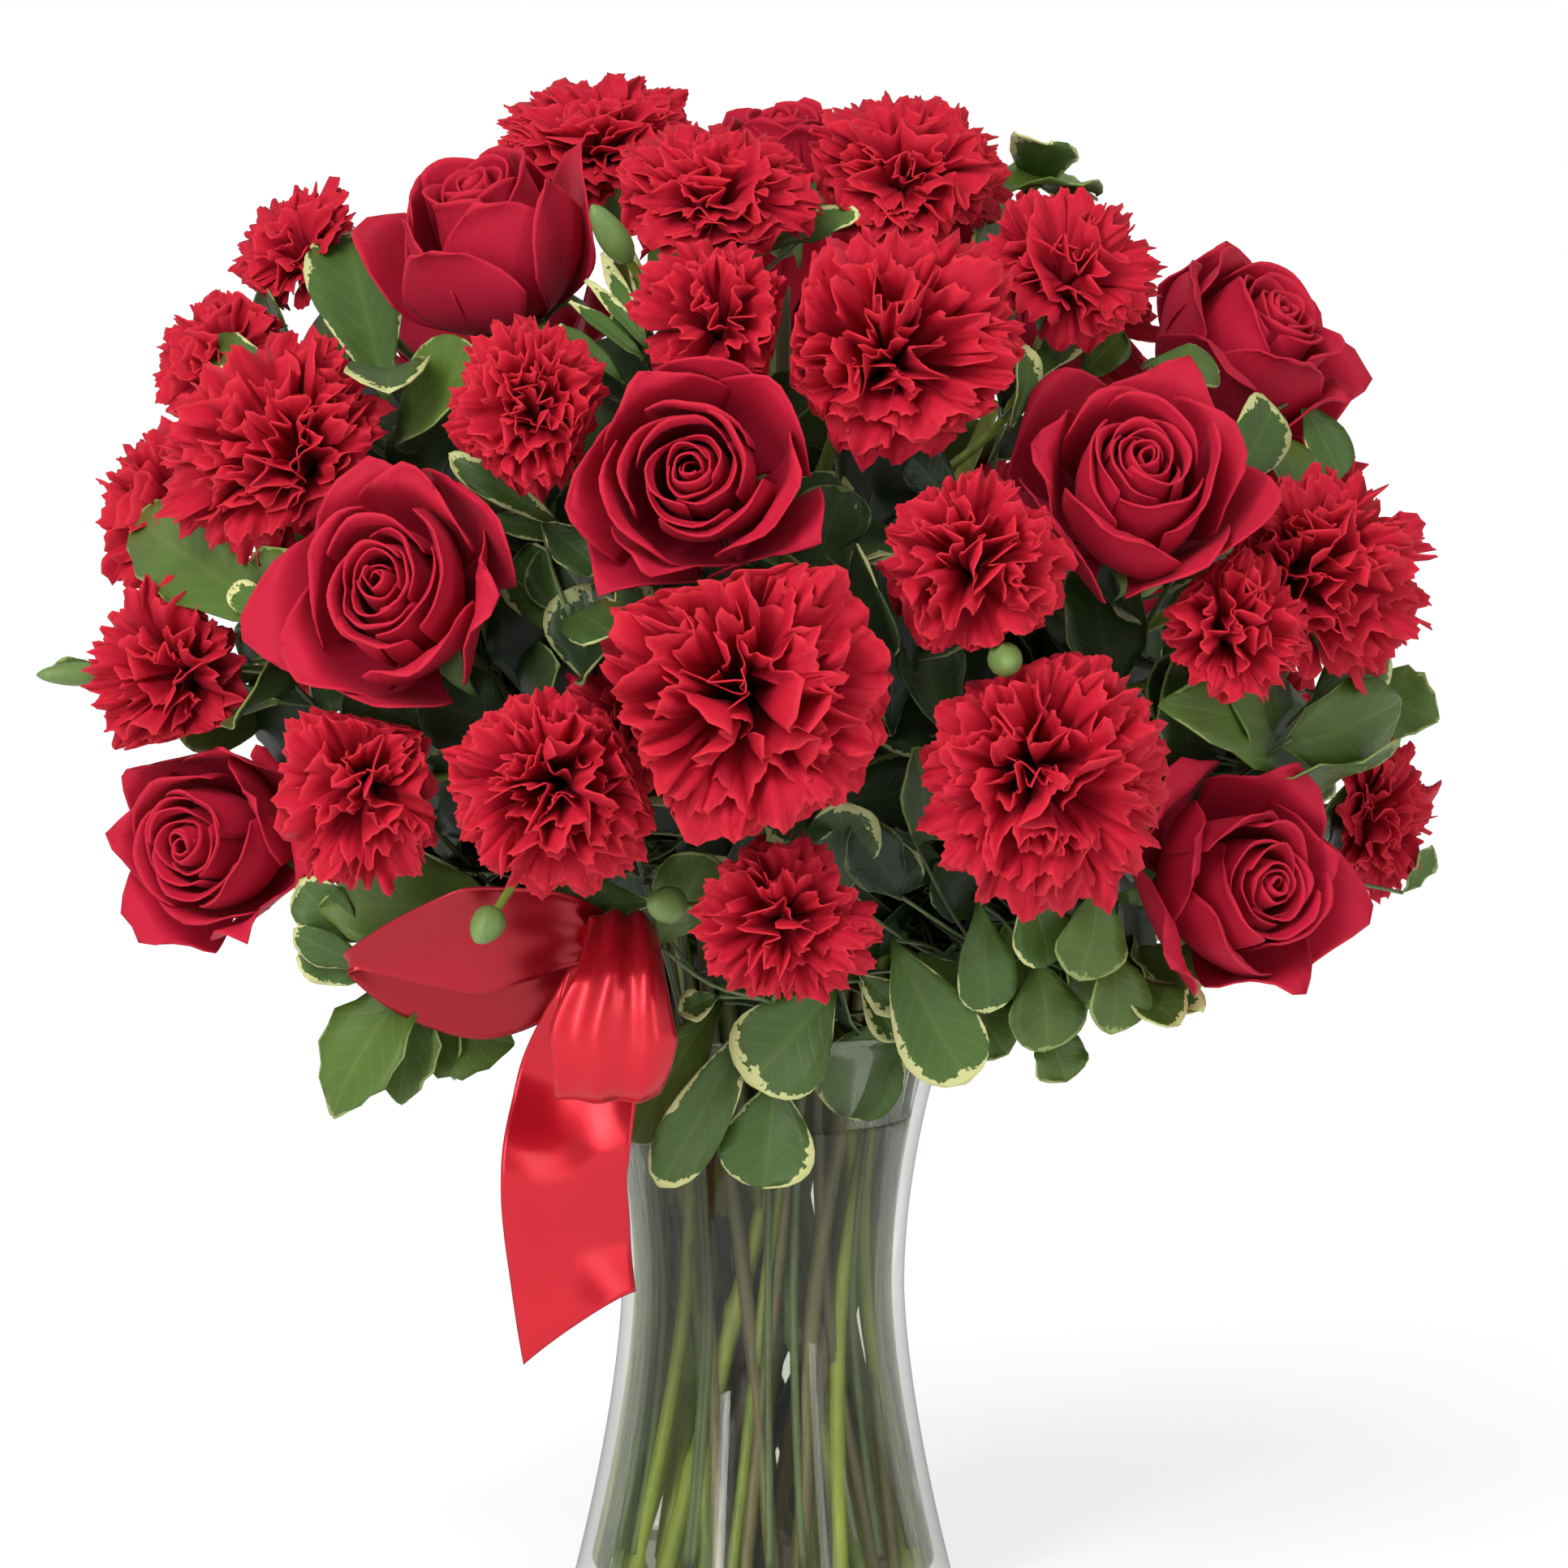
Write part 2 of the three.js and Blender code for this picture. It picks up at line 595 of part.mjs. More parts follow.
// One leaf of a leafy stem, turned by small random steps until it is clear of everything else.
// Leaves stand all round the stem, or fan out downwards where the stem hangs over the rim.
// Where there is no room for one, the stem goes without it.
function clearLeaf(spray, base, order, obstacles, sisters, random) {
  const out = headNormal(base);
  if (spray.hang) {
    out.setZ(0.25).normalize();
  }
  const side = new THREE.Vector3().crossVectors(out, vec(0, 0, 1)).normalize();
  const up = new THREE.Vector3().crossVectors(side, out).normalize();
  const fan = Math.PI + 2.6 * (order / (spray.leaves - 1) - 0.5);
  for (let attempt = 0; attempt < MOST_TRIES; attempt += 1) {
    const loose = 0.3 + 0.03 * attempt;
    const around = (spray.hang ? fan : 2.4 * order) + (random() - 0.5) * loose;
    const rise = 0.3 + (random() - 0.5) * Math.min(loose, 1.4);
    const size = 1.08 - 0.16 * random() - 0.004 * attempt;
    const along = side.clone().multiplyScalar(Math.sin(around)).addScaledVector(up, Math.cos(around));
    along.addScaledVector(out, rise).normalize();
    const face = out.clone().addScaledVector(along, -out.dot(along)).normalize();
    const leaf = {
      base,
      along,
      face,
      length: spray.length * size,
      width: spray.width * size,
      toothed: spray.toothed,
      curl: 0.1 + 0.3 * random(),
      wave: 1.2 * random(),
    };
    const space = leafSolid(leaf, LEAF_CLEARANCE);
    if (isClear(space, sisters) && isClear(space, obstacles)) {
      return leafSolid(leaf, 0);
    }
  }
  return null;
}

// A leafy stem: its foot stands against the glass, its end reaches out between the blooms.
function sprayRoute(spray, angle, bow) {
  const lining = (z) => polar(vaseRadius(z) - GLASS_WALL - THIN_STEM_RADIUS - 0.3, angle, z);
  const end = vec(spray.x, headSurface(spray.x, spray.z, spray.back), spray.z);
  const centre = vec(0, 0, HEAD.middle);
  end.sub(centre).multiplyScalar(spray.deep).add(centre);
  const mouth = lining(VASE_HEIGHT - 6);
  const over = polar(vaseRadius(VASE_HEIGHT) - GLASS_WALL - 2, angle, VASE_HEIGHT + 6);
  const middle = over.clone().lerp(end, 0.5).add(bow);
  return [lining(WATER_LEVEL + 4), mouth, over, middle, end];
}

function leafySpray(spray, seed, obstacles) {
  const random = randomFrom(seed);
  const straight = Math.atan2(headSurface(spray.x, spray.z, spray.back), spray.x);
  const isOpen = (route) => {
    const space = solidOf(tube(route, THIN_STEM_RADIUS + STEM_CLEARANCE, STEM_SIDES));
    return isClear(space, obstacles);
  };
  let route = sprayRoute(spray, straight, vec(0, 0, 0));
  for (let attempt = 1; !isOpen(route); attempt += 1) {
    if (attempt > MOST_TRIES) {
      throw new Error("no clear way for " + spray.name);
    }
    const angle = straight + (random() - 0.5) * 0.012 * attempt;
    const bow = vec(random() - 0.5, random() - 0.5, random() - 0.5).multiplyScalar(0.6 * attempt);
    route = sprayRoute(spray, angle, bow);
  }
  const [before, tip] = route.slice(-2);
  const length = tip.distanceTo(before);
  const rising = tip.clone().sub(before).normalize();
  const leaves = [];
  for (let i = 0; i < spray.leaves; i += 1) {
    const base = tip.clone().addScaledVector(rising, -Math.min(2 + LEAF_SPACING * i, length));
    const leaf = clearLeaf(spray, base, i, obstacles, leaves, random);
    leaves.push(...(leaf ? [leaf] : []));
  }
  return joinAll([solidOf(tube(route, THIN_STEM_RADIUS, STEM_SIDES)), ...leaves]);
}

// Ribbon: two loops and a tail out of one knot, and a short end that lies on the rim
function bandSolid(path, widths, across, steps, slant = 0) {
  const curve = new THREE.CatmullRomCurve3(path, false, "centripetal");
  const rows = [];
  const normals = [];
  for (let i = 0; i <= steps; i += 1) {
    const share = i / steps;
    const point = curve.getPointAt(share);
    const at = share * (widths.length - 1);
    const low = Math.min(Math.floor(at), widths.length - 2);
    const half = THREE.MathUtils.lerp(widths[low], widths[low + 1], at - low) / 2;
    rows.push([-half, half].map((off) => point.clone().addScaledVector(across, off)));
    normals.push(new THREE.Vector3().crossVectors(curve.getTangentAt(share), across).normalize());
  }
  rows[steps][0].addScaledVector(curve.getTangentAt(1), slant);
  return solidOf(sheet(rows, normals, RIBBON_THICKNESS));
}

function ribbonSolid() {
  const knot = vec(-46, -90, 216);
  const knotSize = 8;
  const full = RIBBON_WIDTH;
  const ball = new THREE.SphereGeometry(knotSize, 6, 5).translate(...knot.toArray());
  const frontPath = [
    knot,
    vec(-40, -104, 225),
    vec(-40, -119, 210),
    vec(-42, -121, 188),
    vec(-44, -113, 172),
    vec(-45, -100, 180),
    knot,
  ];
  const frontLoop = bandSolid(frontPath, [12, 18, 27, full, full, full, 30, 14], vec(1, 0, 0), 11);
  const leftPath = [
    knot,
    vec(-62, -100, 219),
    vec(-86, -105, 216),
    vec(-119, -98, 210),
    vec(-100, -86, 206),
    vec(-74, -82, 208),
    knot,
  ];
  const leftWidths = [12, 26, full, 26, 10, 26, full, 26, 12];
  const leftLoop = bandSolid(leftPath, leftWidths, vec(0.06, -0.3, 0.95).normalize(), 12);
  const tailPath = [
    knot,
    vec(-48, -94, 196),
    vec(-53, -92, 168),
    vec(-56, -86, 140),
    vec(-55, -79, 118),
    vec(-54, -77, 109),
  ];
  const tailWidths = [12, 22, full, full, full, full];
  const tail = bandSolid(tailPath, tailWidths, vec(0.98, 0.1, 0).normalize(), 7, 16);
  const inward = polar(1, radians(-120), 0);
  const rim = inward.clone().multiplyScalar(RIM_RADIUS - GLASS_WALL / 2);
  rim.setZ(VASE_HEIGHT + GAP + RIBBON_THICKNESS / 2);
  const overRim = [knot];
  for (const [out, up] of [[18, 9], [2, 0], [0, 0]]) {
    overRim.push(rim.clone().addScaledVector(inward, out).add(vec(0, 0, up)));
  }
  const alongRim = new THREE.Vector3().crossVectors(inward, vec(0, 0, 1));
  const seat = bandSolid(overRim, [10, 10, 10], alongRim, 4);
  return joinAll([solidOf(ball), frontLoop, leftLoop, tail, seat]);
}

// Assembly
const root = new THREE.Group();

function addMesh(name, geometry, colour, roughness) {
  const material = new THREE.MeshStandardMaterial({ color: colour, roughness, metalness: 0 });
  if (colour === COLOURS.glass || colour === COLOURS.water) {
    material.transparent = true;
    material.opacity = 0.35;
  }
  const mesh = new THREE.Mesh(geometry, material);
  mesh.name = name;
  root.add(mesh);
}

const vase = solidOf(vaseGeometry());
addMesh("vase", geometryOf(vase), COLOURS.glass, 0.05);

const ribbon = ribbonSolid();
addMesh("ribbon_bow", geometryOf(ribbon), COLOURS.ribbon, 0.35);

const blooms = listBlooms();
blooms.forEach((bloom, i) => {
  const geometry = bloomGeometry(bloom, blooms, 100 + i);
  bloom.solid = solidOf(geometry);
  addMesh(bloom.name, geometry, bloom.kind === "rose" ? COLOURS.rose : COLOURS.carnation, 0.6);
});

function allBut(bloom) {
  return [vase, ribbon, ...blooms.filter((other) => other !== bloom).map((other) => other.solid)];
}

// The lowest blooms stand on the stems of the outer ring, the highest on those in the middle.
const slope = (bloom) => (bloom.foot.z - VASE_HEIGHT) / Math.hypot(bloom.foot.x, bloom.foot.y);
const ordered = [...blooms].sort((a, b) => slope(a) - slope(b));
const standing = ordered.filter((bloom) => bloom.kind !== "mini_carnation");
const branching = ordered.filter((bloom) => bloom.kind === "mini_carnation");
const places = stemPlaces(standing.length, STEM_RINGS);
const stems = {};

// Going round a ring, each bloom takes the free place nearest to its own bearing.
STEM_RINGS.forEach((_, ring) => {
  const free = places.filter((place) => place.ring === ring);
  const first = places.findIndex((place) => place.ring === ring);
  const members = standing.slice(first, first + free.length);
  members.sort((a, b) => bearing(a.foot) - bearing(b.foot));
  members.forEach((bloom, i) => {
    const off = (place) => Math.abs(Math.sin((place.angle + place.lean - bearing(bloom.foot)) / 2));
    free.sort((a, b) => off(a) - off(b));
    const start = stemStart(free.shift(), places);
    stems[bloom.name] = stemFor(bloom, start, STEM_RADIUS, allBut(bloom), 500 + 20 * ring + i);
  });
});
const holes = Object.values(stems).map((stem) => stemHole(stem.route));

// Mini carnations branch off the nearest tall stem.
const forks = standing.map((bloom) => new Route(stems[bloom.name].route).getPoint(0.7));
branching.forEach((bloom, i) => {
  forks.sort((a, b) => a.distanceTo(bloom.foot) - b.distanceTo(bloom.foot));
  stems[bloom.name] = stemFor(bloom, [forks[0]], THIN_STEM_RADIUS, allBut(bloom), 700 + i);
});

const buds = BUDS.map((bud, i) => {
  const start = new Route(stems[bud.from].route).getPoint(0.8);
  return budSolid(bud, start, allBut(null), 900 + i);
});

const flowerStems = joinAll([...Object.values(stems).map((stem) => stem.solid), ...buds]);
addMesh("flower_stems", geometryOf(flowerStems), COLOURS.stem, 0.6);

const placed = [...allBut(null), flowerStems];
GREENS.forEach((spray, i) => {
  const name = "greens_" + String(i + 1).padStart(2, "0");
  const solid = leafySpray({ ...spray, name }, 300 + i, placed);
  placed.push(solid);
  addMesh(name, geometryOf(solid), COLOURS.leaf, 0.45);
});

addMesh("water", geometryOf(waterSolid(joinAll(holes))), COLOURS.water, 0.05);

export default root;
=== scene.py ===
# The looks of a round bouquet of roses and carnations in a clear glass vase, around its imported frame.
# Shapes are worked out in millimetres and put into Blender in metres, +Z up, the front towards -Y.
import math

import bpy
import numpy as np
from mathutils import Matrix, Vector


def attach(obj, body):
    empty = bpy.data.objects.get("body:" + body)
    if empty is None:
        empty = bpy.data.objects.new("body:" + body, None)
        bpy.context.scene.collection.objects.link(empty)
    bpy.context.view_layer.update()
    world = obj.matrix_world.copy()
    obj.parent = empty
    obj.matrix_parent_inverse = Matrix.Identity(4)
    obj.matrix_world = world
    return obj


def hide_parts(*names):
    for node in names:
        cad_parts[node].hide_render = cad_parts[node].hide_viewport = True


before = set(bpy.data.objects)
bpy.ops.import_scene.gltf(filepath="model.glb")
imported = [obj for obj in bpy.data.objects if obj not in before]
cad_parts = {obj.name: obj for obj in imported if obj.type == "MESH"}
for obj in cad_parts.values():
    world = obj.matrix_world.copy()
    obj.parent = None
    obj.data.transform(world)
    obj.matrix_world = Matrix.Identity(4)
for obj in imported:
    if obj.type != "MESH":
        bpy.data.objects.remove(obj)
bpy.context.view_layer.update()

MM = 0.001
GOLDEN_ANGLE = math.radians(137.508)
TURN = 6.283  # a full turn, for random angles

# Vase and water
VASE_HEIGHT = 180
BASE_RADIUS = 60
WAIST_RADIUS = 43
WAIST_HEIGHT = 98
RIM_RADIUS = 57
GLASS_WALL = 4
GLASS_FLOOR = 9
INNER_CORNER = 6
FOOT_CURVE, RIM_CURVE = 1.55, 1.9  # powers of the two halves of the side's curve
WATER_LEVEL = 150
WATER_OVERLAP = 0.25  # how far the water reaches into the glass, so that no gap shows
ROUND_SIDES = 96

# The round head of the bouquet, an ellipsoid that the bloom centres lie on. Its back is flatter.
ACROSS, DEEP, BACK_DEEP, UP, DOWN, MIDDLE = 188, 150, 114, 172, 120, 275
HEAD_MIDDLE = np.array([0, 0, MIDDLE])

# Stems. The tall ones stand in two rings, which share their number and lean by an angle in degrees.
STEM_RADIUS = 2.6
THIN_STEM_RADIUS = 1.5
STALK_RADIUS = 0.6
STEM_POINTS = 44
FORK = 0.72  # how far up a tall stem the mini carnations branch off
RING_RADII = {"foot": 46, "waist": 31, "mouth": 40}
STEM_RINGS = [{"share": 0.5, "scale": 1, "lean": 27}, {"share": 0.5, "scale": 0.56, "lean": 27}]
INNER_STEMS = 53  # further stems in the vase, which the frame leaves out

# Thicknesses of petals, sepals and leaves
ROSE_THICKNESS, CARNATION_THICKNESS, SEPAL_THICKNESS, LEAF_THICKNESS = 0.55, 0.4, 0.7, 0.6

# First numbers of the random draws
PETAL_SEED, GREENS_SEED, RING_SEED, BRANCH_SEED, STEM_SEED, INNER_SEED = 100, 300, 500, 700, 800, 850

# Ribbon
RIBBON_WIDTH = 37
RIBBON_THICKNESS = 0.5
# The short end of ribbon that lies on the rim: its bearing from the axis, then radii and heights
SEAT_BEARING = math.radians(-120)
SEAT_PLACES = [(73, 190), (58, 180.9), (54, 180.4)]

# Front blooms: x, z, radius, turn to the viewer's right, lift above the horizon, and y where it
# isn't on the head. Back blooms: x, z, radius.
ROSES = [
    (-79, 417, 36, -40, 56),
    (-18, 352, 37, -8, 12),
    (-104, 318, 40, -14, 12),
    (107, 349, 39, 10, 24),
    (147, 385, 36, 38, 34),
    (-162, 240, 35, -32, 4),
    (140, 230, 37, 34, 8),
    (6, 438, 28, 0, 78, 14),
    (-84, 388, 34),
    (88, 314, 35),
    (-62, 246, 33),
]
# Roses that open another way than in the frame, as the photo shows them: turn and lift
OPENINGS = {"rose_01": (-38, 60), "rose_04": (12, 34), "rose_05": (54, 42), "rose_03": (-20, 18)}
CARNATIONS = [
    (-49, 446, 28, -12, 52, 0),
    (-14, 430, 29, 0, 50),
    (42, 436, 28, 12, 40),
    (-140, 356, 34, -38, 20),
    (-65, 370, 25, -12, 8),
    (36, 386, 37, 4, 20),
    (163, 320, 34, 42, 12),
    (-58, 265, 31, -6, 0),
    (-5, 292, 40, 0, 4),
    (79, 267, 37, 8, 0),
    (6, 390, 36),
    (-10, 306, 36),
    (88, 394, 34),
    (-128, 302, 35),
    (34, 236, 34),
    (158, 330, 31),
]
MINI_CARNATIONS = [
    (89, 408, 24, 14, 36),
    (-140, 412, 20, -42, 32, -2),
    (-162, 380, 23, -44, 28, -8),
    (-177, 334, 24, -52, 10, -10),
    (-12, 395, 24, 0, 24),
    (60, 328, 27, 2, 14),
    (135, 307, 23, 24, 20),
    (-173, 289, 24, -28, 0),
    (-114, 262, 26, -12, 0),
    (-37, 282, 18, -14, 10, -116),
    (6, 227, 25, 0, 4),
    (184, 243, 21, 56, 2, -16),
    (150, 258, 24),
    (-142, 236, 23),
]

# Closed buds: x, y, z, radius, height as a multiple of the width, the bloom whose stem they grow from,
# and how far up that stem
BUDS = [
    (-78, -118, 223, 5.5, 1.1, "carnation_08", 0.96),
    (-27, -126, 230, 6, 1.1, "mini_carnation_11", 0.8),
    (68, -147, 301, 5.5, 1.1, "mini_carnation_06", 0.8),
    (-43, -88, 418, 5, 2.2, "mini_carnation_05", 0.8),
    (-206, -20, 286, 4, 2.6, "mini_carnation_08", 0.8),
]

# Leafy stems: x and z of the leafy end, how deep it lies as a share of the head's size, length and
# width of the blades, kind of leaf, and whether it is at the back or hangs over the rim
GREENS = [
    (-114, 388, 0.94, 60, 31, "oval"),
    (-38, 408, 0.9, 36, 12, "narrow"),
    (82, 438, 0.97, 46, 24, "oval"),
    (146, 352, 0.94, 44, 25, "oval"),
    (30, 338, 0.86, 52, 32, "oval"),
    (160, 272, 0.96, 54, 32, "toothed"),
    (-62, 320, 0.88, 44, 22, "oval"),
    (-160, 306, 0.95, 50, 27, "toothed"),
    (-108, 207, 0.96, 48, 25, "toothed", "hang"),
    (100, 216, 0.94, 42, 26, "oval", "hang"),
    (4, 188, 0.88, 54, 26, "oval", "hang"),
    (-134, 366, 0.9, 58, 32, "oval", "back"),
    (42, 352, 0.92, 58, 32, "toothed", "back"),
    (142, 284, 0.9, 56, 31, "oval", "back"),
    (-24, 212, 0.86, 48, 27, "oval", "back", "hang"),
]


# The camera that took the photo: it stands 1.9 m away and looks down 6 degrees
PHOTO_SIZE = 1932
PHOTO_MIDDLE = PHOTO_SIZE / 2
PIXEL = 0.245  # millimetres that a pixel spans at the vase's axis
CAMERA_DISTANCE = 1900
CAMERA_LIFT = math.radians(6)
CAMERA_AIM = np.array([6.4, 0, 251])
CAMERA_BACK = np.array([0, -math.cos(CAMERA_LIFT), math.sin(CAMERA_LIFT)])
CAMERA_UP = np.array([0, math.sin(CAMERA_LIFT), math.cos(CAMERA_LIFT)])
SENSOR_WIDTH = 36

# Leaves that the photo shows, by the leafy stem they grow on: the pixels x, y where the base and
# then the tip is seen, width, how far out they lie, and the kind where it isn't plain. The depth is
# a share of the head's size, or y in millimetres where it is negative.
SEEN_LEAVES = {
    1: [
        (478, 500, 428, 285, 28, 0.97, "oval"), (488, 548, 592, 436, 27, 0.98),
        (338, 450, 262, 430, 11, 1.05, "oval"), (440, 520, 400, 380, 20, 0.88),
        (405, 480, 325, 350, 26, 0.9),
    ],
    2: [
        (940, 312, 1058, 262, 12, 0.97, "oval"), (800, 345, 856, 285, 14, 0.93),
        (1000, 285, 1040, 215, 14, 0.9), (790, 440, 702, 372, 5, 0.96, "narrow"),
        (800, 430, 722, 345, 4, 0.96, "narrow"), (795, 420, 742, 312, 5, 0.96, "narrow"),
        (800, 400, 775, 300, 4, 0.95, "narrow"), (765, 470, 690, 400, 5, 0.94, "narrow"),
        (880, 310, 905, 275, 10, 0.92), (800, 520, 738, 420, 20, 0.85), (760, 620, 738, 478, 26, 0.8),
    ],
    3: [
        (1212, 240, 1350, 238, 26, 1.0), (1230, 225, 1352, 245, 14, 0.98), (1170, 372, 1250, 262, 24, 0.93),
        (1245, 525, 1264, 425, 10, 0.93, "oval"), (1268, 480, 1338, 400, 14, 0.92, "oval"),
        (1060, 310, 1125, 268, 13, 0.9),
    ],
    4: [
        (1415, 448, 1502, 462, 13, 0.97), (1545, 520, 1600, 612, 19, 0.95),
        (1600, 490, 1650, 590, 16, 0.95, "oval"), (1330, 470, 1385, 410, 12, 0.93),
    ],
    5: [
        (1055, 668, 1085, 540, 26, 0.84), (1100, 905, 1080, 680, 22, 0.84, "oval"),
        (1165, 905, 1120, 770, 20, 0.8), (1365, 880, 1335, 690, 28, 0.84), (930, 540, 995, 465, 15, 0.86),
        (1180, 620, 1120, 560, 14, 0.82, "oval"), (1010, 690, 1040, 600, 20, 0.8),
    ],
    6: [
        (1655, 935, 1428, 868, 29, 0.97, "toothed"), (1612, 868, 1702, 785, 21, 1.0, "oval"),
        (1680, 850, 1772, 888, 21, 0.98, "toothed"), (1595, 815, 1643, 770, 9, 0.98, "oval"),
        (1728, 1100, 1764, 1042, 9, 0.95), (1590, 1005, 1632, 945, 12, 0.93, "oval"),
        (1420, 900, 1480, 1010, 22, 0.85), (1590, 1050, 1684, 950, 26, 0.93),
        (1610, 850, 1700, 950, 32, 0.5), (1625, 1085, 1652, 985, 20, 0.6), (1475, 905, 1425, 815, 22, 0.8),
    ],
    7: [
        (668, 645, 740, 705, 14, 0.88, "oval"), (700, 655, 553, 562, 9, 0.92, "oval"),
        (700, 660, 596, 640, 8, 0.9, "narrow"), (705, 890, 645, 715, 28, 0.82),
        (748, 860, 715, 720, 24, 0.82, "oval"), (640, 905, 690, 820, 24, 0.85),
        (757, 765, 803, 722, 12, 0.92, "oval"), (800, 1000, 770, 880, 20, 0.8),
        (540, 640, 470, 560, 18, 0.84), (640, 900, 520, 870, 26, 0.84), (560, 640, 512, 505, 24, 0.84),
        (750, 770, 672, 672, 24, 0.8), (520, 590, 468, 470, 26, 0.8), (668, 690, 600, 575, 24, 0.78),
    ],
    8: [
        (350, 765, 168, 637, 25, 0.98, "toothed"), (335, 835, 252, 800, 12, 0.96, "oval"),
        (345, 865, 245, 845, 13, 0.93), (335, 885, 222, 908, 14, 0.95),
        (345, 775, 287, 722, 9, 1.0, "oval"), (372, 690, 325, 645, 11, 0.95, "oval"),
        (130, 832, 63, 827, 8, 1.0), (420, 600, 470, 520, 16, 0.86), (540, 905, 425, 858, 28, 0.84),
    ],
    9: [
        (508, 1216, 410, 1376, 27, -80, "toothed"), (520, 1222, 492, 1360, 23, -72, "toothed"),
        (500, 1262, 634, 1286, 25, -66, "toothed"), (470, 1190, 362, 1148, 11, -86, "oval"),
        (478, 1198, 366, 1178, 12, -82, "oval"), (610, 1115, 392, 1118, 27, -92, "toothed"),
        (450, 1160, 368, 1088, 16, -84, "oval"), (560, 1225, 560, 1330, 22, -62, "toothed"),
    ],
    10: [
        (1099, 1158, 1192, 1334, 24, -90, "oval"), (1134, 1175, 1240, 1300, 21, -84),
        (1205, 1112, 1216, 1248, 17, -97, "oval"), (1275, 1185, 1290, 1294, 23, -88),
        (1262, 1095, 1290, 1190, 21, -100, "oval"), (1350, 1095, 1328, 1207, 23, -102),
        (1366, 1168, 1368, 1274, 22, -90), (1238, 1140, 1258, 1246, 24, -72),
        (1318, 1140, 1338, 1244, 25, -72), (1388, 1140, 1424, 1236, 23, -76),
        (1392, 1172, 1486, 1206, 18, -90, "oval"), (1405, 1222, 1478, 1245, 13, -84, "oval"),
        (1285, 1262, 1312, 1333, 18, -79), (1375, 1210, 1452, 1264, 18, -86, "oval"),
        (1130, 1045, 1124, 922, 15, 0.86), (1110, 1105, 1048, 1018, 17, 0.84),
        (1035, 1100, 1036, 985, 21, 0.86, "oval"), (1060, 1200, 1110, 1245, 10, -86, "oval"),
    ],
    11: [
        (1030, 1218, 922, 1335, 28, -80, "oval"), (955, 1325, 942, 1464, 26, -70, "oval"),
        (935, 1245, 812, 1462, 17, -74, "oval"), (890, 1235, 778, 1408, 20, -68),
        (1060, 1208, 1105, 1282, 10, -76, "oval"), (885, 1228, 838, 1248, 9, -91, "oval"),
        (1110, 1245, 1025, 1368, 26, -37, "oval"), (805, 1112, 668, 1118, 15, -104, "oval"),
        (812, 1165, 872, 1052, 19, -112),
    ],
}


# Vectors
def unit(v):
    v = np.asarray(v, float)
    return v / np.maximum(np.linalg.norm(v, axis=-1, keepdims=True), 1e-9)


def polar(radius, angle, z):
    return np.array([radius * math.cos(angle), radius * math.sin(angle), z])


def bearing(point):
    return math.atan2(point[1], point[0]) % (2 * math.pi)


def turn_from_up(facing):
    """The rotation that takes +Z to facing by the shortest way."""
    f = unit(facing)
    axis = np.array([-f[1], f[0], 0.0])
    c = f[2]
    k = np.array([[0, -axis[2], axis[1]], [axis[2], 0, -axis[0]], [-axis[1], axis[0], 0]])
    return np.eye(3) + k + k @ k / (1 + c)


def turned(x, y, angle):
    """x and y turned round the origin by an angle."""
    c, s = np.cos(angle), np.sin(angle)
    return x * c - y * s, x * s + y * c


def pick_best(tries, good=-math.inf, gain=0):
    """The try of least cost, its first item. The search ends at a try that costs less than good."""
    best = None
    for found in tries:
        if best is None or found[0] < best[0] - gain:
            best = found
        if found[0] < good:
            break
    return best


def smooth(x, low=0.0, high=1.0):
    t = np.clip((x - low) / (high - low), 0, 1)
    return t * t * (3 - 2 * t)


def between(keys, rows, t):
    """Rows of numbers given at keys, read at t by straight lines."""
    return np.stack([np.interp(t, keys, column) for column in np.array(rows).T], -1)


def bezier(points, v):
    """A cubic curve through the control numbers points[..., 4] at v."""
    a, b, c, d = (points[..., i] for i in range(4))
    w = 1 - v
    return a * w**3 + 3 * b * v * w**2 + 3 * c * v**2 * w + d * v**3


# Meshes
class Pile:
    """Vertices in millimetres, quads, a material for each quad and named numbers for each vertex."""

    def __init__(self):
        self.points, self.quads, self.materials, self.numbers = [], [], [], []
        self.count = 0

    def add(self, points, quads, material=0, along=0.0, across=0.0, margin=1.0, tone=0.5):
        n = len(points)
        self.points.append(points)
        self.quads.append(quads + self.count)
        self.materials.append(np.full(len(quads), material))
        numbers = [np.broadcast_to(np.ravel(x), n) for x in (along, across, margin, tone)]
        self.numbers.append(np.stack(numbers, 1))
        self.count += n


ATTRIBUTES = ("along", "across", "margin", "tone")


def grid_quads(rows, columns, wrap=False):
    """Quads of a grid whose vertices run row by row, joined round where wrap is set."""
    i, j = np.meshgrid(np.arange(rows - 1), np.arange(columns if wrap else columns - 1), indexing="ij")
    k = (j + 1) % columns
    quads = np.stack([i * columns + j, i * columns + k, (i + 1) * columns + k, (i + 1) * columns + j], -1)
    return quads.reshape(-1, 4)


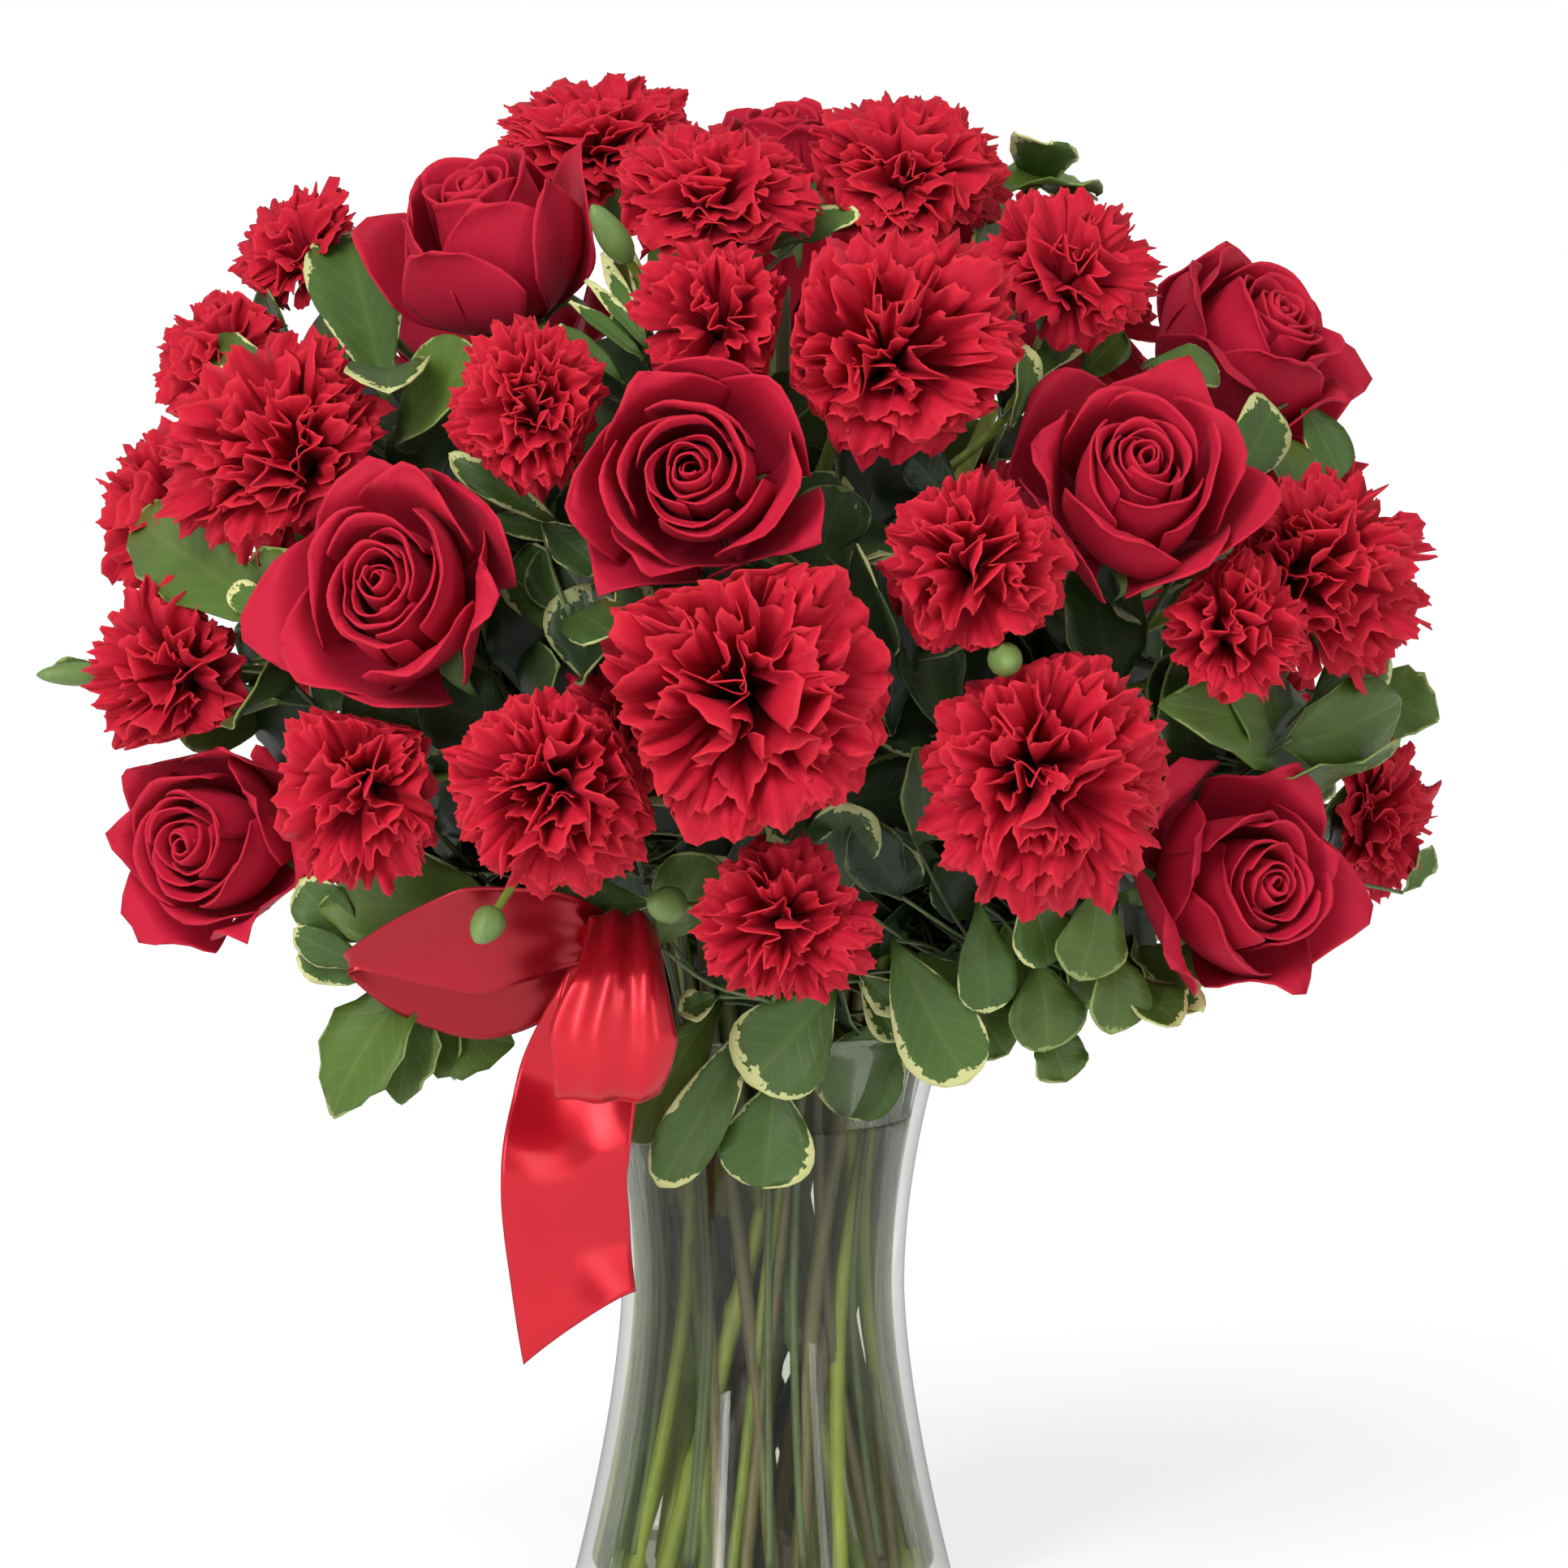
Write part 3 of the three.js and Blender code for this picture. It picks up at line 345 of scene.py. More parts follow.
def add_sheets(pile, grids, thickness, material=0, **numbers):
    """Closed thin solids around many grids of points at once: grids is (sheets, rows, columns, 3)."""
    count, rows, columns, _ = grids.shape
    down = np.gradient(grids, axis=1)
    right = np.gradient(grids, axis=2)
    normal = unit(np.cross(right, down))
    faces = np.stack([grids + normal * thickness / 2, grids - normal * thickness / 2], 1)
    size = rows * columns
    top = grid_quads(rows, columns)
    rim = np.concatenate([
        np.arange(columns),
        np.arange(1, rows) * columns + columns - 1,
        (rows - 1) * columns + np.arange(columns - 2, -1, -1),
        np.arange(rows - 2, 0, -1) * columns,
    ])
    after = np.roll(rim, -1)
    wall = np.stack([after, rim, rim + size, after + size], 1)
    quads = np.concatenate([top, top[:, ::-1] + size, wall])
    all_quads = (quads[None] + 2 * size * np.arange(count)[:, None, None]).reshape(-1, 4)
    spread = {}
    for name, value in numbers.items():
        value = np.broadcast_to(value, (count, rows, columns))
        spread[name] = np.stack([value, value], 1).reshape(-1)
    pile.add(faces.reshape(-1, 3), all_quads, material, **spread)


def frames_along(path):
    """Two side directions at each point of a path that don't twist round it."""
    tangent = unit(np.gradient(path, axis=0))
    first = np.cross(tangent[0], [0.31, 0.87, 0.2])
    sides = [unit(first)]
    for t in tangent[1:]:
        sides.append(unit(sides[-1] - t * np.dot(sides[-1], t)))
    sides = np.array(sides)
    return sides, np.cross(tangent, sides)


def add_tube(pile, path, radii, sides=10, material=0, **numbers):
    """A round tube along a path, closed by a small cap at each end."""
    a, b = frames_along(path)
    radii = np.broadcast_to(radii, len(path))
    angle = 2 * math.pi * np.arange(sides) / sides
    ring = a[:, None] * np.cos(angle)[None, :, None] + b[:, None] * np.sin(angle)[None, :, None]
    body = path[:, None] + ring * radii[:, None, None]
    low = path[0] + 0.02 * ring[0] * radii[0]
    high = path[-1] + 0.02 * ring[-1] * radii[-1]
    rings = np.concatenate([low[None], body, high[None]])
    along = np.concatenate([[0], np.linspace(0, 1, len(path)), [1]])
    numbers.setdefault("along", np.repeat(along, sides))
    across = np.tile(np.arange(sides) / sides, len(rings))
    pile.add(rings.reshape(-1, 3), grid_quads(len(rings), sides, True), material, across=across, **numbers)


def add_lathe(pile, profile, sides):
    """A closed body turned round the Z axis from a profile of (radius, z) that runs from axis to axis."""
    profile = np.array(profile, float)
    profile[:, 0] = np.maximum(profile[:, 0], 0.01)
    angle = 2 * math.pi * np.arange(sides) / sides
    rings = np.stack([
        profile[:, :1] * np.cos(angle),
        profile[:, :1] * np.sin(angle),
        np.repeat(profile[:, 1:], sides, 1),
    ], -1)
    pile.add(rings.reshape(-1, 3), grid_quads(len(profile), sides, True))


def add_object(name, data):
    made = bpy.data.objects.new(name, data)
    bpy.context.scene.collection.objects.link(made)
    return made


def make_piece(name, pile, materials, slot, *replaced):
    """The pile as a Blender object that rides on the bouquet's one body."""
    points = np.concatenate(pile.points) * MM
    quads = np.concatenate(pile.quads)
    mesh = bpy.data.meshes.new(name)
    mesh.vertices.add(len(points))
    mesh.vertices.foreach_set("co", points.astype(np.float32).ravel())
    mesh.loops.add(quads.size)
    mesh.loops.foreach_set("vertex_index", quads.astype(np.int32).ravel())
    mesh.polygons.add(len(quads))
    mesh.polygons.foreach_set("loop_start", np.arange(0, quads.size, 4, dtype=np.int32))
    mesh.polygons.foreach_set("material_index", np.concatenate(pile.materials).astype(np.int32))
    mesh.polygons.foreach_set("use_smooth", np.ones(len(quads), bool))
    numbers = np.concatenate(pile.numbers).astype(np.float32)
    for i, attribute in enumerate(ATTRIBUTES):
        layer = mesh.attributes.new(attribute, "FLOAT", "POINT")
        layer.data.foreach_set("value", np.ascontiguousarray(numbers[:, i]))
    mesh.update(calc_edges=True)
    mesh.validate()
    for material in materials:
        mesh.materials.append(material)
    piece = add_object(name, mesh)
    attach(piece, "root")
    if replaced:
        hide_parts(*replaced)
    return piece


# Places: the same rules as the frame's
def vase_radius(z):
    to_foot = np.clip((WAIST_HEIGHT - z) / WAIST_HEIGHT, 0, 1)
    to_rim = np.clip((z - WAIST_HEIGHT) / (VASE_HEIGHT - WAIST_HEIGHT), 0, 1)
    lower = WAIST_RADIUS + (BASE_RADIUS - WAIST_RADIUS) * to_foot**FOOT_CURVE
    return lower + (RIM_RADIUS - WAIST_RADIUS) * to_rim**RIM_CURVE


def head_surface(x, z, back):
    """y of the head's surface at a place seen from the front."""
    tall = UP if z > MIDDLE else DOWN
    reach = math.sqrt(max(1 - (x / ACROSS) ** 2 - ((z - MIDDLE) / tall) ** 2, 0))
    return (BACK_DEEP if back else -DEEP) * reach


def head_sizes(points):
    """Half the head's size along each axis, on the side of its middle where points lie."""
    deep = np.where(points[..., 1] > 0, BACK_DEEP, DEEP)
    tall = np.where(points[..., 2] > MIDDLE, UP, DOWN)
    return np.stack([np.full_like(deep, ACROSS), deep, tall], -1)


def head_normal(point):
    return unit((point - HEAD_MIDDLE) / head_sizes(point) ** 2)


def head_share(points):
    """How far out points lie, as a share of the head's size."""
    return np.sqrt((((points - HEAD_MIDDLE) / head_sizes(points)) ** 2).sum(-1))


def from_photo(x, y, depth):
    """The place that the photo shows at a pixel: on the head shrunk to a share, or at a negative y."""
    eye = CAMERA_AIM + CAMERA_DISTANCE * CAMERA_BACK
    seen = CAMERA_AIM + CAMERA_UP * (PHOTO_MIDDLE - y) * PIXEL + [(x - PHOTO_MIDDLE) * PIXEL, 0, 0]
    if depth < 0:
        return eye + (seen - eye) * (depth - eye[1]) / (seen[1] - eye[1])
    ray = eye + (seen - eye) * np.linspace(0.88, 1.06, 300)[:, None]
    share = head_share(ray)
    inside = np.flatnonzero(share <= depth)
    return ray[inside[0] if len(inside) else np.argmin(share)]


# Height of a bloom's foot over its centre, in radii
FOOT_HEIGHTS = {"rose": -0.8, "carnation": -0.76, "mini_carnation": -0.8}


def facing_from(turn, lift):
    turn, lift = math.radians(turn), math.radians(lift)
    return polar(math.cos(lift), turn - math.pi / 2, math.sin(lift))


def list_blooms():
    listed = []
    for kind, rows in (("rose", ROSES), ("carnation", CARNATIONS), ("mini_carnation", MINI_CARNATIONS)):
        for i, (x, z, radius, *rest) in enumerate(rows):
            name = f"{kind}_{i + 1:02d}"
            back = not rest
            y = rest[2] if len(rest) > 2 else head_surface(x, z, back)
            centre = np.array([x, y, z], float)
            in_frame = head_normal(centre) if back else facing_from(*rest[:2])
            facing = facing_from(*OPENINGS[name]) if name in OPENINGS else in_frame
            listed.append({"name": name, "kind": kind, "centre": centre, "radius": radius, "facing": facing,
                           "facing_in_frame": in_frame})
    return listed


blooms = list_blooms()
# Balls of room that the bow and the view of it take: x, y, z, radius
BOW_ROOM = [
    (-60, -108, 218, 15), (-84, -112, 216, 18), (-106, -108, 211, 14), (-72, -90, 205, 12),
    (-94, -125, 212, 16), (-41, -118, 214, 22), (-43, -122, 192, 22), (-44, -116, 175, 17),
    (-44, -140, 195, 22), (-55, -97, 160, 16), (-70, -128, 214, 18), (-56, -97, 130, 16),
]
# Blooms that are nearer to each other than this many radii give way, from this share of the room on,
# and reach this far past the plane between them
NEIGHBOUR_REACH, FREE_ROOM, PAST_PLANE = 1.25, 0.72, 0.8
OBSTACLES = np.array([b["centre"] for b in blooms] + [row[:3] for row in BOW_ROOM], float)
OBSTACLE_RADII = np.array([b["radius"] for b in blooms] + [row[3] for row in BOW_ROOM], float)


def hold_back(points, bloom):
    """Moves points of one bloom back from the planes that part it from its neighbours."""
    for other in blooms:
        reach = bloom["radius"] + other["radius"]
        towards = other["centre"] - bloom["centre"]
        apart = np.linalg.norm(towards)
        if other["name"] == bloom["name"] or apart > NEIGHBOUR_REACH * reach:
            continue
        towards = towards / apart
        limit = apart * bloom["radius"] / reach + PAST_PLANE
        start = FREE_ROOM * limit
        room = limit - start
        along = (points - bloom["centre"]) @ towards
        over = np.maximum(along - start, 0)
        held = start + room * (1 - np.exp(-over / room))
        shift = np.where(over > 0, held - along, 0)
        points = points + shift[..., None] * towards
    return points


def place_bloom(local, bloom):
    """From a bloom's own frame, facing +Z with radius 1, to its place between its neighbours."""
    points = local * bloom["radius"] @ turn_from_up(bloom["facing"]).T
    wide, above, below = PROPORTIONS.get(bloom["name"], (1, 1, 1))
    points[..., 0] *= wide
    points[..., 2] *= np.where(points[..., 2] > 0, above, below)
    return hold_back(hold_back(points + bloom["centre"], bloom), bloom)


def intrusion(points, share=0.82, but=None):
    """How far the deepest of points lies inside the blooms' rounded bodies, in millimetres."""
    points = np.reshape(points, (-1, 3))
    away = np.linalg.norm(points[:, None] - OBSTACLES[None], axis=2)
    inside = share * OBSTACLE_RADII - away
    if but is not None:
        inside[:, but] = -1e3
    return inside.max()


# Blooms
ROSE_SHAPE = (25, 12, 13)  # petals, rows and columns of each petal's grid
# Control points of a petal's profile from heart to outermost petal: radii, then heights
ROSE_KEYS = [0, 0.3, 0.62, 0.84, 1]
ROSE_RADII = [
    (0.02, 0.12, 0.10, 0.05),
    (0.04, 0.36, 0.32, 0.20),
    (0.05, 0.66, 0.54, 0.44),
    (0.06, 0.80, 0.64, 0.96),
    (0.06, 0.88, 0.72, 1.34),
]
ROSE_HEIGHTS = [
    (-0.70, -0.2, 0.12, 0.36),
    (-0.72, -0.4, 0.12, 0.42),
    (-0.76, -0.5, 0.08, 0.40),
    (-0.78, -0.66, 0.02, 0.28),
    (-0.80, -0.74, -0.06, 0.06),
]
# The same for a rose that is only half open
BUD_RADII = [
    (0.02, 0.12, 0.10, 0.05),
    (0.04, 0.34, 0.28, 0.16),
    (0.05, 0.60, 0.50, 0.34),
    (0.06, 0.78, 0.70, 0.60),
    (0.06, 0.86, 0.80, 0.96),
]
BUD_HEIGHTS = [
    (-0.70, -0.3, 0.15, 0.52),
    (-0.72, -0.5, 0.16, 0.58),
    (-0.76, -0.6, 0.16, 0.62),
    (-0.78, -0.7, 0.14, 0.60),
    (-0.80, -0.76, 0.06, 0.42),
]
HALF_OPEN = {"rose_01": 0.9, "rose_05": 0.4, "rose_07": 0.3, "rose_08": 0.8}
# How far the outermost petals of a rose reach, where it differs from the others
REACHES = {"rose_01": 1.02, "rose_03": 0.94, "rose_05": 0.92, "rose_06": 0.86, "rose_07": 0.94}
# Blooms that are squeezed by their neighbours: how wide they are, and how tall above and below the centre
PROPORTIONS = {
    "rose_03": (0.88, 1, 1.06),
    "rose_04": (0.9, 1, 1.03),
    "carnation_01": (1, 0.75, 1),
    "carnation_02": (1, 0.76, 0.88),
    "carnation_03": (1, 0.82, 1),
    "carnation_04": (1, 0.87, 0.87),
    "carnation_05": (0.82, 0.86, 0.92),
    "carnation_06": (1, 0.83, 0.78),
    "carnation_07": (0.96, 0.74, 0.87),
    "carnation_08": (0.95, 0.8, 0.82),
    "carnation_10": (0.82, 0.95, 0.87),
    "mini_carnation_05": (0.88, 0.87, 1),
    "mini_carnation_06": (0.88, 0.86, 1),
    "mini_carnation_07": (0.84, 0.9, 0.85),
    "mini_carnation_09": (0.82, 1, 1),
    "mini_carnation_11": (0.95, 0.88, 0.8),
    "mini_carnation_12": (0.93, 1, 1),
}


def rose_petals(bloom, seed):
    """Spiral of petals: rolled round the heart, cupped further out, turned back to points outside."""
    rng = np.random.default_rng(seed)
    n, rows, columns = ROSE_SHAPE
    shape = (n, 1, 1)
    t = (np.arange(n) / (n - 1)).reshape(shape)
    v = (1 - (1 - np.linspace(0, 1, rows)) ** 1.25)[None, :, None]
    u = np.linspace(-1, 1, columns)[None, None, :]
    side = np.abs(u)
    outer = smooth(t, 0.6, 0.86)
    tip = np.exp(-((side / 0.2) ** 1.4))
    length = 1 - 0.1 * side**2.4 - outer * (0.34 * side**1.1 - 0.1 * tip)
    length = np.minimum(length * (1 + 0.05 * rng.standard_normal(shape) * (0.3 + outer)), 1.04)
    w = v * length
    closed = HALF_OPEN.get(bloom["name"], 0.0)
    reach = 1 + (REACHES.get(bloom["name"], 1.0) - 1) * smooth(t, 0.6, 1.0)
    profiles = []
    for opened, shut in ((ROSE_RADII, BUD_RADII), (ROSE_HEIGHTS, BUD_HEIGHTS)):
        controls = between(ROSE_KEYS, opened, t) * (1 - closed) + between(ROSE_KEYS, shut, t) * closed
        profiles.append(bezier(controls, w))
    rho, z = profiles
    rho = rho * (1 + (reach - 1) * smooth(w, 0.5, 1.0))
    wrap = np.interp(t, [0, 0.3, 0.62, 1], [2.7, 1.55, 1.08, 0.86]) * (0.55 + 0.45 * smooth(w, 0.05, 0.6))
    phi = u * wrap
    rho = rho * (1 + 0.11 * u * (1 - outer) + 0.05 * rng.standard_normal(shape) * (1 - outer))
    flat = 0.35 + 0.45 * outer
    roll = smooth(w, 0.5, 1.0)
    lip = smooth(w, 0.8, 1.0) ** 2 * smooth(t, 0.08, 0.3)
    x = rho * np.cos(phi) + rho * (1 - np.cos(phi)) * flat * smooth(t, 0.2, 0.7)
    y = rho * np.sin(phi)
    x = x - 0.14 * outer * roll * side**1.6 + (0.05 + 0.05 * np.sin(math.pi * t)) * lip
    z = z - roll * side**2 * (0.03 + 0.26 * outer) - (0.05 + 0.05 * outer) * lip - 0.05 * outer * lip * tip
    wave = np.sin(u * (2.2 + rng.random(shape)) + 6.3 * rng.random(shape))
    x = x + 0.032 * wave * roll * (0.3 + t)
    x = x + 0.02 * np.sin(9 * u + 6.3 * rng.random(shape)) * smooth(w, 0.3, 1) * (0.3 + outer)
    z = z + 0.025 * np.cos(3 * u + 6.3 * rng.random(shape)) * roll * (0.4 + outer)
    z = z + 0.03 * rng.standard_normal(shape) * w * (0.3 + outer)
    z = z + 0.08 * u * roll * rng.standard_normal(shape)
    spin = np.arange(n) * GOLDEN_ANGLE + rng.random() * TURN + 0.12 * rng.standard_normal(n)
    local = np.stack([*turned(x, y, spin.reshape(shape)), z], -1)
    return local, {"along": w, "across": u, "margin": 1 - v, "tone": rng.random(shape)}


# Petals, rows and columns of each petal's grid, for front blooms and for back ones
CARNATION_SHAPES = {
    "carnation": ((46, 5, 29), (36, 5, 17)),
    "mini_carnation": ((30, 5, 25), (26, 5, 17)),
}


def carnation_petals(bloom, seed):
    """Ruffled fans with finely toothed edges: broad at the rim of the dome, crowded at its heart."""
    rng = np.random.default_rng(seed)
    n, rows, columns = CARNATION_SHAPES[bloom["kind"]][int(bloom["centre"][1] > 5)]
    shape = (n, 1, 1)
    share = (np.arange(n) + 0.5) / n
    widest = math.radians(104)
    alpha = np.arccos(1 - (1 - math.cos(widest)) * share**1.1)
    alpha = np.abs(alpha + 0.1 * rng.standard_normal(n))
    t = np.clip(alpha / widest, 0, 1).reshape(shape)
    heart = 1 - t
    v = (np.linspace(0, 1, rows) ** 0.7)[None, :, None]
    u = np.linspace(-1, 1, columns)[None, None, :]
    teeth = np.where(np.arange(columns) % 2, 1.0, -1.0)[None, None, :]
    teeth = teeth * (0.3 + 0.9 * rng.random((n, 1, columns)))
    long = 1 + 0.07 * np.clip(rng.standard_normal(shape), -2, 0.9)
    lobes = np.cos(math.pi * u * (2 + 2 * rng.random(shape)) + TURN * rng.random(shape))
    length = long * (1 - 0.13 * np.abs(u) ** 3 + 0.055 * lobes + 0.016 * teeth * smooth(v, 0.6, 1))
    w = v * length
    rho_tip = 1.05 * np.sin(np.minimum(alpha, 1.6)).reshape(shape) + 0.02
    z_tip = (0.04 + 0.6 * np.cos(alpha)).reshape(shape) + 0.05 * rng.standard_normal(shape)
    lean = np.minimum(alpha * 1.14 + 0.1, 1.85).reshape(shape)
    reach = 0.5
    radii = np.broadcast_arrays(0.02, 0.05 + 0.16 * rho_tip, rho_tip - reach * np.sin(lean), rho_tip)
    heights = np.broadcast_arrays(-0.72, -0.3, z_tip - reach * np.cos(lean), z_tip)
    rho, z = bezier(np.stack(radii, -1), w), bezier(np.stack(heights, -1), w)
    half = (0.33 + 0.2 * t) * (1 + 0.16 * rng.standard_normal(shape))
    side = u * half * (0.1 + 0.9 * smooth(w, 0.18, 1.0))
    phase = TURN * rng.random((n, 3, 1, 1))
    waves = 1.3 + 0.9 * rng.random(shape)
    ruffle = np.sin(math.pi * waves * u + phase[:, 0])
    ruffle = ruffle + 0.42 * np.sin(2.2 * math.pi * waves * u + phase[:, 1])
    ruffle = ruffle * (0.055 + 0.085 * heart**0.8) * w**2.4 * (0.6 + 0.8 * rng.random(shape))
    ruffle = ruffle + 0.026 * np.sin(5.6 * math.pi * u + phase[:, 2]) * w**4
    fold = 0.35 * (np.abs(u) - 0.45) * rng.standard_normal(shape) * (0.15 + 0.85 * heart) * w**1.4
    bend = (0.05 - 0.2 * rng.random(shape)) * smooth(w, 0.65, 1) * (0.3 + 0.7 * t)
    off = ruffle + fold + bend
    twist = (0.12 + 0.9 * heart) * rng.standard_normal(shape) * smooth(w, 0.2, 1)
    side, out = turned(side, off, twist)
    rho = rho - out * np.cos(lean)
    z = z + out * np.sin(lean)
    spin = np.arange(n) * GOLDEN_ANGLE + TURN * rng.random() + 0.2 * rng.standard_normal(n)
    if bloom["facing"][2] > 0.44:
        z = np.where(z > 0, 0.66 * z, z)
    local = np.stack([*turned(rho, side, spin.reshape(shape)), z], -1)
    return local, {"along": w, "across": u, "margin": 1 - v, "tone": rng.random(shape)}


def build_bloom(bloom, seed, material):
    pile = Pile()
    rose = bloom["kind"] == "rose"
    local, numbers = (rose_petals if rose else carnation_petals)(bloom, seed)
    thickness, slot = (ROSE_THICKNESS, "rose_petals") if rose else (CARNATION_THICKNESS, "carnation_petals")
    add_sheets(pile, place_bloom(local, bloom), thickness, **numbers)
    return make_piece(bloom["name"] + "_petals", pile, [material], slot, bloom["name"])


# Stems
def smooth_path(points, count):
    """A rounded path through the points, evenly stepped."""
    p = np.array(points, float)
    p = np.concatenate([[2 * p[0] - p[1]], p, [2 * p[-1] - p[-2]]])
    fine = []
    for a, b, c, d in zip(p, p[1:], p[2:], p[3:]):
        s = np.linspace(0, 1, 16, endpoint=False)[:, None]
        curve = 2 * b + (c - a) * s + (2 * a - 5 * b + 4 * c - d) * s**2 + (3 * b - a - 3 * c + d) * s**3
        fine.append(0.5 * curve)
    fine = np.concatenate([*fine, p[-2][None]])
    steps = np.concatenate([[0], np.cumsum(np.linalg.norm(np.diff(fine, axis=0), axis=1))])
    at = np.linspace(0, steps[-1], count)
    return np.stack([np.interp(at, steps, fine[:, k]) for k in range(3)], 1)


def stem_places(count):
    places = []
    for ring, plan in enumerate(STEM_RINGS):
        number = round(count * plan["share"] + 1e-6)
        for i in range(number):
            way = -1 if i % 2 else 1
            angle = 2 * math.pi * (i + 0.5 * ring) / number
            lean = math.radians(plan["lean"]) * way
            places.append({"ring": ring, "angle": angle, "lean": lean, "scale": plan["scale"],
                           "leans_out": ring > 0 and i == 0})
    return places[:count]


def ring_route(place):
    levels = [
        (RING_RADII["foot"], GLASS_FLOOR + 1.4, -1),
        (RING_RADII["waist"], WAIST_HEIGHT, 0),
        (RING_RADII["mouth"], VASE_HEIGHT - 4, 1),
    ]
    route = []
    for radius, z, way in levels:
        scale = math.sqrt(place["scale"]) if way < 0 else place["scale"]
        route.append(polar(radius * scale, place["angle"] + way * place["lean"], z))
    return route


def stem_start(place, places):
    """The first stem of an inner ring has its foot beside a stem of the ring outside it."""
    points = ring_route(place)
    if place["leans_out"]:
        feet = [ring_route(p)[0] for p in places if p["ring"] == place["ring"] - 1]
        nearest = min(feet, key=lambda foot: np.linalg.norm(foot - points[0]))
        points[0] = nearest * [0.98, 0.98, 1]
    return points


def bloom_foot(bloom):
    return place_bloom(np.array([[0, 0, FOOT_HEIGHTS[bloom["kind"]]]]), bloom)[0]


def calyx_size(bloom):
    """Length and top radius of the cup under a bloom."""
    rose = bloom["kind"] == "rose"
    return (7, 0.22 * bloom["radius"]) if rose else (13, 0.16 * bloom["radius"])


def stem_route(start, bloom, seed):
    """From the vase up to a bloom, bent a little where other blooms are in the way."""
    rng = np.random.default_rng(seed)
    end = bloom_foot(bloom) - bloom["facing"] * calyx_size(bloom)[0]
    own = blooms.index(bloom)
    last = start[-1]
    tall = np.linalg.norm(end - last)

    def tries():
        for attempt in range(60):
            drift = unit(rng.standard_normal(3)) * attempt
            rising = (last + [0, 0, 0.28 * tall]) * 0.88 + end * 0.12 + 0.6 * drift
            arriving = (end - bloom["facing"] * 0.26 * tall) * 0.88 + last * 0.12 + drift
            path = smooth_path([*start, rising, arriving, end], STEM_POINTS)
            yield intrusion(path[path[:, 2] > VASE_HEIGHT], share=0.9, but=own), path

    return pick_best(tries(), good=-2, gain=1)[1]


def assign_stems():
    """Each tall bloom's route: outer ring for low blooms, inner ring for high ones, as in the frame."""
    for bloom in blooms:
        bloom["foot"] = bloom_foot(bloom)
        bloom["place"] = bloom_foot({**bloom, "facing": bloom["facing_in_frame"]})
    steep = lambda b: (b["place"][2] - VASE_HEIGHT) / math.hypot(b["place"][0], b["place"][1])
    ordered = sorted(blooms, key=steep)
    standing = [b for b in ordered if b["kind"] != "mini_carnation"]
    branching = [b for b in ordered if b["kind"] == "mini_carnation"]
    places = stem_places(len(standing))
    routes = {}
    first = 0
    for ring in range(len(STEM_RINGS)):
        free = [p for p in places if p["ring"] == ring]
        members = sorted(standing[first:first + len(free)], key=lambda b: bearing(b["place"]))
        first += len(free)
        for i, bloom in enumerate(members):
            off = lambda p: abs(math.sin((p["angle"] + p["lean"] - bearing(bloom["place"])) / 2))
            free.sort(key=off)
            seed = RING_SEED + 20 * ring + i
            routes[bloom["name"]] = stem_route(stem_start(free.pop(0), places), bloom, seed)
    forks = [routes[b["name"]][int(FORK * (STEM_POINTS - 1))] for b in standing]
    for i, bloom in enumerate(branching):
        fork = min(forks, key=lambda f: np.linalg.norm(f - bloom["foot"]))
        routes[bloom["name"]] = stem_route([fork], bloom, BRANCH_SEED + i)
    return routes


def add_calyx(pile, bloom, material):
    """The green cup under a bloom: five long sepals on a rose, a plain tube on a carnation."""
    length, top = calyx_size(bloom)
    foot, facing = bloom["foot"], bloom["facing"]
    rose = bloom["kind"] == "rose"
    height = np.array([-1.0, -0.8, -0.45, 0, 0.3, 0.5] if rose else [-1.0, -0.9, -0.5, -0.1, 0.0, 0.08])
    width = np.array([0.35, 0.62, 0.9, 1.0, 1.1, 1.0] if rose else [0.3, 0.72, 0.95, 1.0, 0.95, 0.6])
    path = foot + facing * (height * length)[:, None]
    add_tube(pile, path, top * width, 12, material, tone=0.6)
    if not rose:
        return
    n, rows, columns = 5, 8, 5
    v = np.linspace(0, 1, rows)[None, :, None]
    u = np.linspace(-1, 1, columns)[None, None, :]
    half = 0.13 * (1 - v**1.4) + 0.012
    rho = 0.2 + 0.5 * v - 0.1 * v**2
    z = -0.8 + 0.3 * v - 0.55 * v**2.4
    spin = (2 * math.pi * np.arange(n) / n)[:, None, None]
    local = np.stack(np.broadcast_arrays(*turned(rho, u * half, spin), z), -1)
    numbers = {"along": v, "across": u, "margin": 1 - np.abs(u), "tone": 0.6}
    add_sheets(pile, place_bloom(local, bloom), SEPAL_THICKNESS, material, **numbers)


def stem_radii(count, radius, length, rose, rng):
    """A stem's radius along its path, with swollen nodes on carnations."""
    at = np.linspace(0, length, count)
    radii = radius * (1.12 - 0.2 * at / length)
    if not rose:
        for node in np.arange(30 + 30 * rng.random(), length - 15, 52):
            radii = radii * (1 + 0.38 * np.exp(-(((at - node) / 3.2) ** 2)))
    return radii


